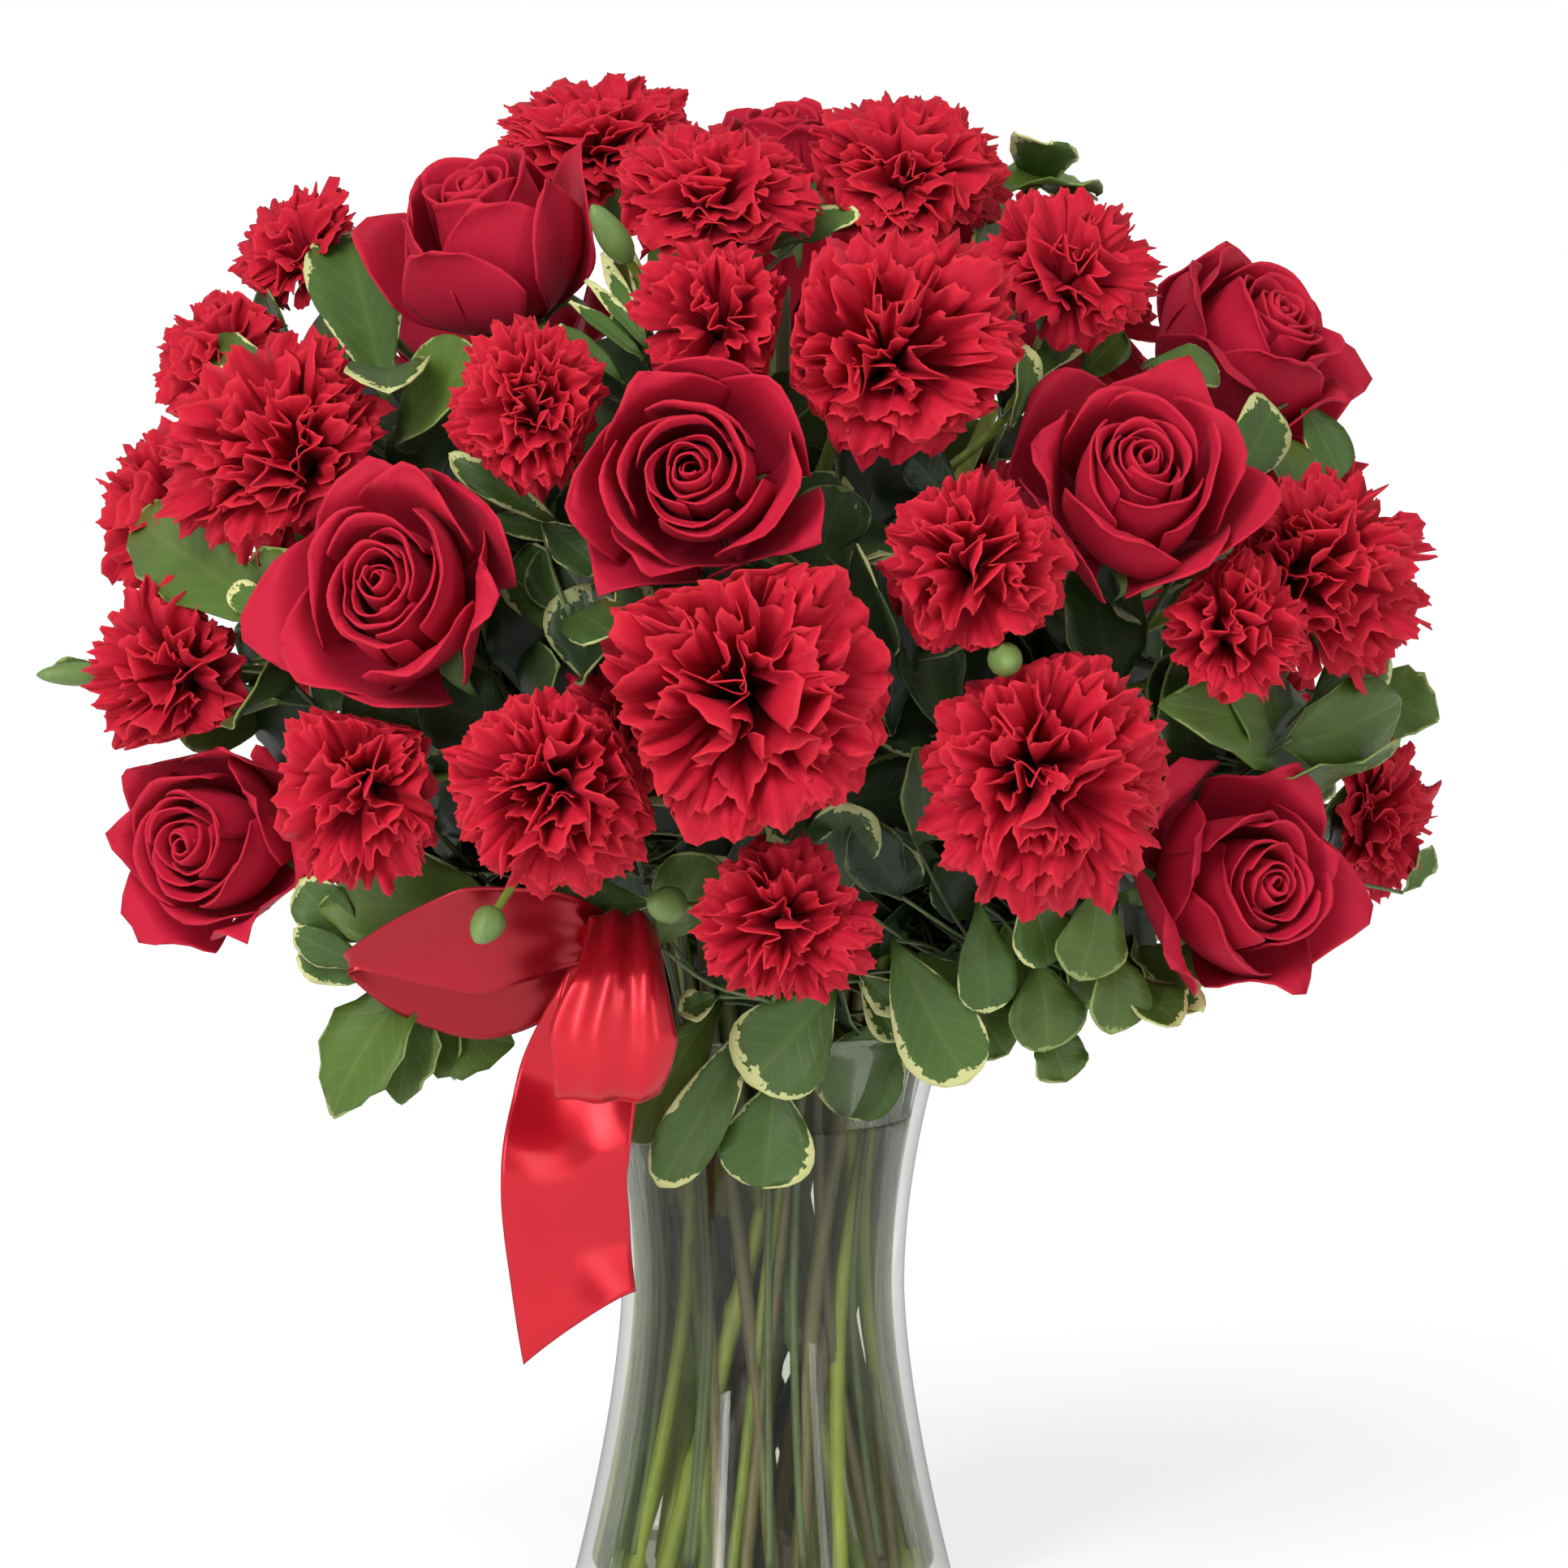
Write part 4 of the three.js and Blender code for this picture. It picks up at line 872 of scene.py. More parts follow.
def build_stems(materials):
    pile = Pile()
    for k, bloom in enumerate(blooms):
        rng = np.random.default_rng(STEM_SEED + k)
        path = routes[bloom["name"]]
        mini = bloom["kind"] == "mini_carnation"
        rose = bloom["kind"] == "rose"
        length = np.linalg.norm(np.diff(path, axis=0), axis=1).sum()
        count, sides = (32, 7) if mini else (64, 10)
        path = smooth_path(path[::3] if len(path[::3]) > 3 else path, count)
        radii = stem_radii(count, THIN_STEM_RADIUS if mini else STEM_RADIUS, length, rose, rng)
        add_tube(pile, path, radii, sides, int(rose), tone=rng.random())
        add_calyx(pile, bloom, 2)
    for x, y, z, radius, tall, source, share in BUDS:
        end = np.array([x, y, z], float)
        path = routes[source]
        start = path[int(share * (len(path) - 1))]
        up = unit(end - start)
        add_tube(pile, smooth_path([start, (start + end) / 2, end], 12), 1.3, 8, 0, tone=0.7)
        h = np.linspace(-1, 1, 13)
        girth = np.sqrt(np.maximum(1 - h**2, 0.02)) * (1 - 0.22 * h)
        add_tube(pile, end + up * (h * radius * tall)[:, None], 0.88 * radius * girth, 14, 2, tone=0.8)
    rng = np.random.default_rng(INNER_SEED)
    for k in range(INNER_STEMS):
        by_wall = k % 5 < 3
        angle = GOLDEN_ANGLE * k
        lean = math.radians(12 if by_wall else 20 + 30 * rng.random()) * (-1 if k % 2 else 1)
        share = 1.12 if by_wall else 0.25 + 0.6 * rng.random()
        foot = polar(RING_RADII["foot"] * min(share, 1.05), angle - lean, GLASS_FLOOR + 2)
        waist = polar(RING_RADII["waist"] * share, angle, WAIST_HEIGHT)
        mouth = polar(RING_RADII["mouth"] * share, angle + lean, VASE_HEIGHT)
        end = mouth * [1.2, 1.2, 1.2]
        path = smooth_path([foot, waist, mouth, end], 36)
        add_tube(pile, path, 1.6 + 1.2 * rng.random(), 9, (k // 2) % 2, tone=rng.random())
    return make_piece("stems", pile, materials, "stems", "flower_stems")


# Leaves
LEAF_OUTLINES = {"oval": (1.15, 0.5), "plain": (1.1, 0.55), "toothed": (0.85, 0.85), "narrow": (0.8, 0.9)}
LEAF_MATERIALS = {"oval": 0, "plain": 1, "toothed": 1, "narrow": 0}
TWIG = 2
# Rows and columns of a blade's grid. The last one is only for trying whether a blade fits.
SEEN_GRID, FILLER_GRID, DEEP_GRID, TEST_GRID = (11, 7), (9, 5), (6, 3), (5, 3)
# Filler leaves of a leafy stem, by whether it is at the back and whether it hangs over the rim, and deep
# leaves, by whether it hangs
FILLER_LEAVES = {(False, False): 13, (True, False): 22, (False, True): 0, (True, True): 18}
DEEP_LEAVES = {False: 20, True: 6}


def leaf_grid(leaf, grid):
    """A blade's points from its base along its curve, with a wavy, cupped or toothed margin."""
    rows, columns = grid
    a, b = LEAF_OUTLINES[leaf["kind"]]
    middle = a / (a + b)
    v = (1 - (1 - np.linspace(0, 1, rows)) ** 1.5)[:, None]
    u = np.linspace(-1, 1, columns)[None, :]
    full = (v / middle) ** a * ((1 - v) / (1 - middle)) ** b
    half = np.maximum(leaf["width"] / 2 * full, 0.5)
    if leaf["kind"] == "toothed":
        tooth = np.where(np.arange(rows) % 2, 1.0, -1.0)[:, None]
        half = half * (1 + 0.06 * tooth * np.abs(u) ** 4)
    bend = leaf["bend"]
    length = leaf["length"]
    forward = length * np.sin(bend * v) / bend
    drop = length * (1 - np.cos(bend * v)) / bend
    wave = leaf["wave"] * np.sin(2 * math.pi * (2.2 * v + leaf["phase"]) + 2 * np.sign(u)) * np.abs(u) ** 1.5
    lift = leaf["cup"] * half * np.abs(u) ** 1.4 + wave
    along, face = leaf["along"], leaf["face"]
    side = np.cross(along, face)
    down = -face * drop[..., None] + along * forward[..., None]
    points = leaf["base"] + down + side * (u * half)[..., None] + face * lift[..., None]
    margin = np.minimum((1 - np.abs(u)) * half, (1 - v) * length * 0.8) / 10
    return points, {"along": v, "across": u, "margin": margin, "tone": leaf["tone"]}


def add_leaf(pile, leaf, grid):
    points, numbers = leaf_grid(leaf, grid)
    add_sheets(pile, points[None], LEAF_THICKNESS, LEAF_MATERIALS[leaf["kind"]], **numbers)


def make_leaf(rng, base, along, face, kind, length, width, bend, tone):
    """A leaf's numbers, with what differs from leaf to leaf."""
    return {"base": base, "along": along, "face": face, "kind": kind, "length": length, "width": width,
            "bend": bend, "tone": tone, "wave": 0.3 + 1.3 * rng.random(), "phase": rng.random(),
            "cup": 0.05 + 0.3 * rng.random()}


def vase_intrusion(points):
    """How far points reach through the glass from outside, in millimetres."""
    points = np.reshape(points, (-1, 3))
    low = points[points[:, 2] < VASE_HEIGHT + 3]
    if not len(low):
        return -10
    return (vase_radius(low[:, 2]) + 1 - np.hypot(low[:, 0], low[:, 1])).max()


def seen_leaf(row, rng):
    """A leaf of the photo at its place, as far out as the blooms leave room for it."""
    base_x, base_y, tip_x, tip_y, width, depth, *kind = row
    kind = kind[0] if kind else "plain"
    hangs = depth < 0
    inside_vase = -50 < depth < 0
    step, sink = (7.0, 4.0) if hangs else (-0.045, -0.06)
    # Leaves deeper in the head get a lower tone and so a darker green: painted shade; hanging leaves stay
    # light.
    tone = 0.75 if hangs else 0.1 + 0.75 * float(smooth(depth, 0.82, 0.97))

    def tries():
        for deeper, lean in np.ndindex(4, 4):
            tip = from_photo(tip_x, tip_y, depth + step * deeper)
            base = from_photo(base_x, base_y, depth + step * deeper + sink * (lean + 0.5))
            length = np.linalg.norm(tip - base)
            chord = (tip - base) / length
            middle = (base + tip) / 2
            out = unit(middle * [1, 1, 0]) if hangs else head_normal(middle)
            face = unit(out + np.array([0, -0.7, 0.15]) + 0.3 * rng.standard_normal(3))
            face = unit(face - chord * np.dot(face, chord))
            bend = 0.25 + 0.6 * rng.random()
            along = chord * math.cos(bend / 2) + face * math.sin(bend / 2)
            face = face * math.cos(bend / 2) - chord * math.sin(bend / 2)
            arc_length = length * bend / 2 / math.sin(bend / 2)
            shade = tone + 0.25 * (rng.random() - 0.5)
            leaf = make_leaf(rng, base, along, face, kind, arc_length, width * 1.08, bend, shade)
            points, _ = leaf_grid(leaf, TEST_GRID)
            inside = max(intrusion(points[1:], share=0.93), -10 if inside_vase else vase_intrusion(points))
            yield max(inside, -1) + 0.8 * deeper + 0.2 * lean, leaf

    return pick_best(tries())[1]


def grow_leaf(base, along, out, size, kind, tone, rng):
    """A leaf near the wished direction, turned until it lies clear of the blooms and the glass."""
    def tries():
        for attempt in range(26):
            loose = 0.05 + 0.045 * attempt
            direction = unit(along + loose * rng.standard_normal(3))
            face = unit(out + 0.3 * rng.standard_normal(3))
            face = unit(face - direction * np.dot(face, direction))
            length, width = (side * (0.85 + 0.3 * rng.random()) for side in size)
            bend = 0.15 + 0.8 * rng.random()
            leaf = make_leaf(rng, base, direction, face, kind, length, width, bend, tone)
            points, _ = leaf_grid(leaf, TEST_GRID)
            yield max(intrusion(points[1:]), vase_intrusion(points)), leaf

    return pick_best(tries(), good=-1)


def spray_route(row, rng):
    """From the water, along the inside of the vase, over the rim or up, to the leafy end."""
    x, z, deep, *_ = row
    end = np.array([x, head_surface(x, z, "back" in row), z], float)
    end = (end - HEAD_MIDDLE) * deep + HEAD_MIDDLE
    straight = math.atan2(end[1], x)
    heights = (GLASS_FLOOR + 12, 50, WAIST_HEIGHT, WATER_LEVEL + 4, VASE_HEIGHT - 6)

    def tries():
        for attempt in range(60):
            angle = straight + (rng.random() - 0.5) * 0.012 * attempt
            bow = (rng.random(3) - 0.5) * 0.9 * attempt
            inside = [polar(vase_radius(h) - GLASS_WALL - THIN_STEM_RADIUS - 0.6, angle, h) for h in heights]
            over = polar(vase_radius(VASE_HEIGHT) - GLASS_WALL - 2, angle, VASE_HEIGHT + 6)
            path = smooth_path([*inside, over, (over + end) / 2 + bow, end], 80)
            yield intrusion(path[path[:, 2] > VASE_HEIGHT]), path

    return pick_best(tries(), good=-2, gain=1)[1]


def add_filler_leaves(pile, path, row, count, rng):
    """Leaves all round the stem that close the gaps between the blooms."""
    _, _, _, length, width, kind, *flags = row
    top = path[path[:, 2] > VASE_HEIGHT + 4]
    if "hang" in flags:
        top = top[len(top) // 3:]
    for k in range(count):
        at = (1 - 0.85 * (k / count)) * (len(top) - 2)
        index = int(at)
        base = top[index] + (top[index + 1] - top[index]) * (at - index)
        rising = unit(top[index + 1] - top[index])
        out = head_normal(base)
        side = unit(np.cross(rising, out if abs(np.dot(rising, out)) < 0.95 else [0, 0, 1.0]))
        other = np.cross(rising, side)
        around = GOLDEN_ANGLE * k + 0.4 * rng.standard_normal()
        spread = side * math.cos(around) + other * math.sin(around)
        along = unit(spread + (0.75 - 0.35 * k / count) * rising)
        if "hang" in flags:
            along = unit(along + 0.5 * out + [0, 0, -0.5])
        size = np.array([length, width]) * (0.95 - 0.15 * rng.random())
        # Deeper leaves get a lower tone and a darker green: painted shade, with a random part.
        tone = 0.65 * float(smooth(head_share(base), 0.7, 1.0)) + 0.25 * rng.random()
        depth, leaf = grow_leaf(base, along, out + 0.5 * rising, size, kind, tone, rng)
        if depth < 5:
            add_leaf(pile, leaf, FILLER_GRID)


def add_deep_leaves(pile, path, count, rng):
    """Leaves on side twigs that close the inside of the head, painted dark green with dark twigs as painted
    shade.
    """
    top = path[path[:, 2] > VASE_HEIGHT + 8]

    def tries():
        for _ in range(12):
            start = top[rng.integers(len(top) // 4, len(top))]
            base = start + 32 * unit(rng.standard_normal(3)) * (0.3 + 0.7 * rng.random())
            share = head_share(base)
            wanted = 0.5 + 0.3 * rng.random()
            if share > wanted:
                base = HEAD_MIDDLE + (base - HEAD_MIDDLE) * wanted / share
            if base[2] < VASE_HEIGHT + 14:
                continue
            face = unit(head_normal(base) + 0.35 * rng.standard_normal(3))
            along = unit(np.cross(face, rng.standard_normal(3)))
            # The low tone paints these leaves almost black-green: painted shade.
            length, width, tone = 36 + 14 * rng.random(), 22 + 8 * rng.random(), 0.06 + 0.12 * rng.random()
            leaf = make_leaf(rng, base, along, face, "plain", length, width, 0.3, tone)
            points, _ = leaf_grid(leaf, TEST_GRID)
            yield intrusion(points, share=0.8), leaf, start

    for _ in range(count):
        _, leaf, start = pick_best(tries())
        add_leaf(pile, leaf, DEEP_GRID)
        bow = (start + leaf["base"]) / 2 + [0, 0, -2]
        # The twig's low tone paints it dark too: painted shade.
        add_tube(pile, smooth_path([start, bow, leaf["base"]], 5), STALK_RADIUS, 5, TWIG, tone=0.1)


def build_greens(i, row, materials):
    rng = np.random.default_rng(GREENS_SEED + i)
    path = spray_route(row, rng)
    pile = Pile()
    add_tube(pile, path, np.linspace(THIN_STEM_RADIUS, 0.7, len(path)), 8, TWIG, tone=0.3)
    for leaf_row in SEEN_LEAVES.get(i + 1, []):
        leaf = seen_leaf(leaf_row, rng)
        add_leaf(pile, leaf, SEEN_GRID)
        base = leaf["base"]
        away = np.linalg.norm(path - base, axis=1)
        start = path[max(int(np.argmin(away)) - 2, 0)]
        bow = (start + base) / 2 - 0.1 * leaf["along"] * away.min()
        add_tube(pile, smooth_path([start, bow, base], 9), STALK_RADIUS, 6, TWIG, tone=0.6)
    hangs = "hang" in row
    add_filler_leaves(pile, path, row, FILLER_LEAVES["back" in row, hangs], rng)
    add_deep_leaves(pile, path, DEEP_LEAVES[hangs], rng)
    return make_piece(f"greens_{i + 1:02d}_leaves", pile, materials, "leaves", f"greens_{i + 1:02d}")


# Vase and water
def arc(centre, radius, start, end, count):
    angle = np.radians(np.linspace(start, end, count))
    return [(centre[0] + radius * math.cos(a), centre[1] + radius * math.sin(a)) for a in angle]


def inner_floor(sink=0.0):
    """Profile of the floor's top with its round corner, from the axis outwards, sunk into the glass."""
    corner = vase_radius(GLASS_FLOOR + INNER_CORNER) - GLASS_WALL
    centre = (corner - INNER_CORNER, GLASS_FLOOR + INNER_CORNER)
    middle = [(0, GLASS_FLOOR + 1 - sink), (20, GLASS_FLOOR + 0.6 - sink)]
    return middle + arc(centre, INNER_CORNER + sink, -90, 0, 7)


def build_vase(material):
    pile = Pile()
    profile = [(0, 0), (BASE_RADIUS - 4, 0), *arc((BASE_RADIUS - 3.2, 2.2), 2.2, -90, 0, 6)]
    profile += [(vase_radius(z), z) for z in np.linspace(4, VASE_HEIGHT - 2, 44)]
    profile += arc((RIM_RADIUS - GLASS_WALL / 2, VASE_HEIGHT - 2), 2, 0, 180, 9)
    heights = np.linspace(VASE_HEIGHT - 3, GLASS_FLOOR + INNER_CORNER, 40)
    profile += [(vase_radius(z) - GLASS_WALL, z) for z in heights]
    add_lathe(pile, profile + inner_floor()[-2::-1], ROUND_SIDES)
    return make_piece("glass_vase", pile, [material], "glass", "vase")


def build_water(material):
    """Water with a raised rim where it meets the glass."""
    pile = Pile()
    reach = lambda z: vase_radius(z) - GLASS_WALL + WATER_OVERLAP
    profile = inner_floor(WATER_OVERLAP)
    profile += [(reach(z), z) for z in np.linspace(GLASS_FLOOR + 9, WATER_LEVEL, 34)]
    for inward, up in ((0, 1.4), (0.8, 0.8), (2.5, 0.1), (5, 0)):
        profile.append((reach(WATER_LEVEL) - inward, WATER_LEVEL + up))
    add_lathe(pile, profile + [(0, WATER_LEVEL)], ROUND_SIDES)
    return make_piece("vase_water", pile, [material], "water", "water")


# Ribbon
def band(path, widths, across, count, columns, folds=None):
    """Grid of a ribbon along a path: its width at even steps, and where it faces.
    folds gives its height above the path from the shares along and across it."""
    spine = smooth_path(path, count)
    share = np.linspace(0, 1, count)
    half = np.interp(share, np.linspace(0, 1, len(widths)), widths) / 2
    for _ in range(3):
        half[1:-1] = (half[:-2] + 2 * half[1:-1] + half[2:]) / 4
    half = half[:, None]
    u = np.linspace(-1, 1, columns)[None, :]
    tangent = unit(np.gradient(spine, axis=0))
    across = np.broadcast_to(np.asarray(across, float), spine.shape)
    across = unit(across - tangent * (tangent * across).sum(1, keepdims=True))
    normal = np.cross(tangent, across)
    grid = spine[:, None] + across[:, None] * (u * half)[..., None]
    if folds is not None:
        grid = grid + normal[:, None] * folds(share[:, None], u)[..., None]
    return grid, tangent


def ribbon_piece(name, grid, material, held, *replaced, tone=1.0):
    pile = Pile()
    along = np.linspace(0, 1, grid.shape[0])[:, None]
    across = np.linspace(-1, 1, grid.shape[1])
    numbers = {"along": along, "across": across, "margin": 1 - np.abs(across), "tone": tone}
    add_sheets(pile, grid[None], RIBBON_THICKNESS, **numbers)
    piece = make_piece(name, pile, [material], "ribbon_satin", *replaced)
    steps = np.linalg.norm(np.diff(grid, axis=0), axis=2)
    widths = np.linalg.norm(np.diff(grid, axis=1), axis=2)
    return piece


def build_ribbon(material):
    knot = (-46, -90, 216)
    front_path = [knot, (-40, -104, 225), (-40, -119, 210), (-42, -122, 193), (-43, -120, 178),
                  (-44, -111, 171.5), (-45, -100, 180), knot]

    def front_folds(v, u):
        ridges = 1.4 * np.cos(2.4 * math.pi * (u - 0.62)) * (0.75 + 0.25 * u) - 3.4 * np.abs(u) ** 2.5
        return ridges * smooth(v, 0.0, 0.15) * (1 - 0.8 * smooth(v, 0.54, 0.66))

    front_widths = [11, 18, 25, RIBBON_WIDTH, 31, 27, 27, 14]
    front, _ = band(front_path, front_widths, (1, 0, 0), count=90, columns=25, folds=front_folds)
    ribbon_piece("ribbon_front_loop", front, material, "folded", "ribbon_bow")
    left_path = [knot, (-62, -101, 219), (-86, -106, 217), (-118, -99, 210), (-102, -88, 202),
                 (-76, -84, 200), knot]

    def left_folds(v, u):
        rounded = -1.8 * u**2 * np.exp(-(((v - 0.25) / 0.2) ** 2))
        pleats = 0.8 * np.cos(2.6 * math.pi * u) * (np.exp(-v / 0.1) + np.exp(-(1 - v) / 0.1))
        return rounded + pleats + 0.8 * np.sin(7 * v + 2.0 * u)

    left_widths = [14, 28, RIBBON_WIDTH, 22, 3, 20, 32, 28, 12]
    left, _ = band(left_path, left_widths, (0.1, -0.35, 0.93), count=90, columns=21, folds=left_folds)
    # The left loop's low tone paints it darker: painted shade.
    ribbon_piece("ribbon_left_loop", left, material, "folded", tone=0.3)
    tail_path = [knot, (-48, -93, 198), (-53, -86, 174), (-57, -93, 149), (-56, -86, 125), (-54, -86, 109)]

    def tail_folds(v, u):
        waves = 3.2 * np.sin(8.0 * v - 2.0 * u + 0.4) * smooth(v, 0.1, 0.4)
        return waves + 0.9 * np.cos(3.0 * math.pi * u) * np.exp(-v / 0.2) - 1.2 * u**2

    tail_widths = [12, 26, 35, RIBBON_WIDTH, RIBBON_WIDTH, 35]
    tail, tangent = band(tail_path, tail_widths, (0.98, 0.1, 0), count=80, columns=25, folds=tail_folds)
    share = np.linspace(0, 1, len(tail))[:, None]
    u = np.linspace(-1, 1, tail.shape[1])
    slant = smooth(share, 0.7, 1) * 17 * ((1 - u) / 2) ** 1.5
    tail = tail + tangent[-1] * slant[..., None]
    ribbon_piece("ribbon_tail", tail, material, "hung")
    turn = np.linspace(0, 2 * math.pi * 0.97, 25)
    ring = [np.array(knot) + [5.5 * math.sin(a), -6.5 * math.cos(a), 1.5 * math.sin(a)] for a in turn]
    pleats = lambda v, u: 0.7 * np.cos(4 * u) + 0 * v
    wrap, _ = band(ring, [11, 13, 12, 13, 11], (0, 0, 1), count=40, columns=9, folds=pleats)
    ribbon_piece("ribbon_knot", wrap, material, "folded")
    over_rim = [knot, *(polar(radius, SEAT_BEARING, z) for radius, z in SEAT_PLACES)]
    sideways = (math.sin(SEAT_BEARING), -math.cos(SEAT_BEARING), 0)
    seat, _ = band(over_rim, [10, 10, 10], sideways, count=40, columns=7)
    ribbon_piece("ribbon_seat", seat, material, "hung")


# Colours as linear red, green and blue. Petals: from foot to edge, darker at the foot as painted shade, then
# the shade of their patches.
ROSE_STOPS = [(0.0, (0.38, 0.014, 0.052)), (0.5, (0.45, 0.013, 0.042)), (0.85, (0.44, 0.011, 0.036)),
              (1.0, (0.43, 0.010, 0.034))]
CARNATION_STOPS = [(0.0, (0.38, 0.014, 0.048)), (0.5, (0.43, 0.011, 0.036)), (0.85, (0.44, 0.010, 0.028)),
                   (1.0, (0.45, 0.010, 0.028))]
ROSE_SHADE, CARNATION_SHADE = (0.40, 0.010, 0.030), (0.42, 0.010, 0.024)
# A paler red along the petals' edges: a painted highlight.
PETAL_EDGE_HIGHLIGHT = (0.76, 0.045, 0.058)
DARK_GREEN = (0.006, 0.016, 0.007)
CREAM = (0.60, 0.60, 0.26)
PALE_GREEN = (0.26, 0.33, 0.10)
LEAF_VEIN = (0.16, 0.22, 0.06)
SATIN_THREADS = ((0.46, 0.007, 0.018), (0.58, 0.011, 0.026))
# Darker satin mixed in where a piece's tone is low, on the left loop: painted shade.
SATIN_SHADE = (0.26, 0.003, 0.012)


# Materials
class Nodes:
    """Short calls for making a material's nodes."""

    def __init__(self, name):
        self.material = bpy.data.materials.new(name)
        self.material.use_nodes = True
        self.tree = self.material.node_tree
        self.shader = self.tree.nodes["Principled BSDF"]

    def new(self, kind, links=None, **settings):
        node = self.tree.nodes.new(kind)
        for key, value in settings.items():
            if key in node.inputs:
                node.inputs[key].default_value = value
            else:
                setattr(node, key, value)
        for key, source in (links or {}).items():
            self.tree.links.new(source, node.inputs[key])
        return node

    def number(self, name):
        return self.new("ShaderNodeAttribute", attribute_name=name).outputs["Fac"]

    def math(self, operation, a, b=0.0, c=0.0):
        node = self.tree.nodes.new("ShaderNodeMath")
        node.operation = operation
        for socket, value in zip(node.inputs, (a, b, c)):
            if isinstance(value, (int, float)):
                socket.default_value = value
            else:
                self.tree.links.new(value, socket)
        return node.outputs[0]

    def times(self, a, b):
        return self.math("MULTIPLY", a, b)

    def line(self, a, b, c):
        """a times b plus c."""
        return self.math("MULTIPLY_ADD", a, b, c)

    def least(self, a, b):
        return self.math("MINIMUM", a, b)

    def most(self, a, b):
        return self.math("MAXIMUM", a, b)

    def noise(self, scale, detail=2.0, roughness=0.5, vector=None):
        if vector is None:
            vector = self.new("ShaderNodeTexCoord").outputs["Object"]
        settings = {"Scale": scale, "Detail": detail, "Roughness": roughness}
        return self.new("ShaderNodeTexNoise", {"Vector": vector}, **settings).outputs["Fac"]

    def ramp(self, source, *stops):
        node = self.tree.nodes.new("ShaderNodeValToRGB")
        elements = node.color_ramp.elements
        while len(elements) < len(stops):
            elements.new(0.5)
        for element, (position, colour) in zip(elements, stops):
            element.position = position
            element.color = (*colour, 1)
        self.tree.links.new(source, node.inputs["Fac"])
        return node.outputs["Color"]

    def mix(self, share, a, b):
        node = self.tree.nodes.new("ShaderNodeMix")
        node.data_type = "RGBA"
        for socket, value in ((node.inputs[0], share), (node.inputs[6], a), (node.inputs[7], b)):
            if isinstance(value, (int, float)):
                socket.default_value = value
            elif isinstance(value, tuple):
                socket.default_value = (*value, 1)
            else:
                self.tree.links.new(value, socket)
        return node.outputs[2]

    def into(self, socket, source):
        self.tree.links.new(source, self.shader.inputs[socket])

    def bump(self, height, strength, distance):
        node = self.new("ShaderNodeBump", {"Height": height}, Strength=strength, Distance=distance)
        self.into("Normal", node.outputs["Normal"])

    def set(self, **values):
        for key, value in values.items():
            self.shader.inputs[key.replace("_", " ")].default_value = value
        return self.material


def stripes(n, times):
    """Fine lines along a petal or blade, from its across number."""
    vector = n.new("ShaderNodeCombineXYZ", {"X": n.times(n.number("across"), times),
                                            "Y": n.times(n.number("along"), 1.6),
                                            "Z": n.times(n.number("tone"), 40.0)}).outputs["Vector"]
    return n.noise(1.0, 3.0, 0.6, vector)


def petal_material(name, stops, shade, scale, lines, depth, edge_highlight):
    """Petals with painted shade towards their foot, faint patches, fine lines and a painted highlight on the
    edge.
    """
    n = Nodes(name)
    along, tone = n.number("along"), n.number("tone")
    # The ramp darkens the petals towards their foot, deep in the bloom: painted shade.
    base = n.ramp(along, *stops)
    patches = n.line(n.noise(scale, 3.0), 0.5, n.times(tone, 0.4))
    body = n.mix(n.times(patches, 0.5), base, shade)
    # A paler band along each petal's edge: a painted highlight.
    edge = n.times(n.most(n.math("SUBTRACT", 0.05, n.number("margin")), 0.0), 20 * edge_highlight)
    n.into("Base Color", n.mix(edge, body, PETAL_EDGE_HIGHLIGHT))
    n.bump(stripes(n, lines), depth, 0.0007)
    return n.set(Roughness=0.6, Sheen_Weight=0.08, Sheen_Roughness=0.4, Sheen_Tint=(1, 0.2, 0.25, 1),
                 Specular_IOR_Level=0.12)


def leaf_material(name, dark, light, cream, margin_width):
    n = Nodes(name)
    along, across = n.number("along"), n.number("across")
    margin, tone = n.number("margin"), n.number("tone")
    side = n.math("ABSOLUTE", across)
    vein_place = n.line(along, 44.0, n.times(side, -13.0))
    vein = n.math("POWER", n.line(n.math("SINE", vein_place), 0.5, 0.5), 9.0)
    rib = n.math("POWER", n.math("SUBTRACT", 1.0, side), 14.0)
    lines = n.most(n.times(vein, 0.4), rib)
    # A low tone darkens the green, dims the veins and narrows the pale margin on leaves deep in the head:
    # painted shade; the noise adds random variation.
    share = n.line(n.noise(55.0, 3.0), 0.5, n.math("ADD", tone, -0.25))
    body = n.mix(share, dark, light)
    body = n.mix(n.times(lines, n.line(tone, 0.25, 0.05)), body, LEAF_VEIN)
    blotches = n.least(n.most(n.line(n.noise(48.0, 1.0), 5.0, -2.2), 0.0), 1.2)
    ragged = n.times(n.line(n.noise(380.0, 3.0, 0.7), 2.4, -0.6), blotches)
    reach = n.times(ragged, n.line(n.math("POWER", along, 2.0), margin_width, 0.2 * margin_width))
    edge = n.times(n.math("SUBTRACT", reach, margin), 40.0)
    edge = n.least(n.most(edge, 0.0), n.line(tone, 0.7, 0.3))
    n.into("Base Color", n.mix(edge, body, cream))
    n.bump(n.math("ADD", n.times(lines, -0.6), n.times(n.noise(400.0), 0.25)), 0.35, 0.0006)
    return n.set(Roughness=0.42, Specular_IOR_Level=0.3)


def stem_material(name, light, dark):
    n = Nodes(name)
    place = n.new("ShaderNodeTexCoord").outputs["Object"]
    vector = n.new("ShaderNodeMapping", {"Vector": place}, Scale=(1, 1, 0.12)).outputs["Vector"]
    streaks = n.noise(260.0, 4.0, 0.6, vector)
    share = n.line(streaks, 0.9, n.line(n.number("tone"), 0.7, -0.45))
    n.into("Base Color", n.mix(share, dark, light))
    n.bump(streaks, 0.3, 0.0008)
    return n.set(Roughness=0.45, Specular_IOR_Level=0.45)


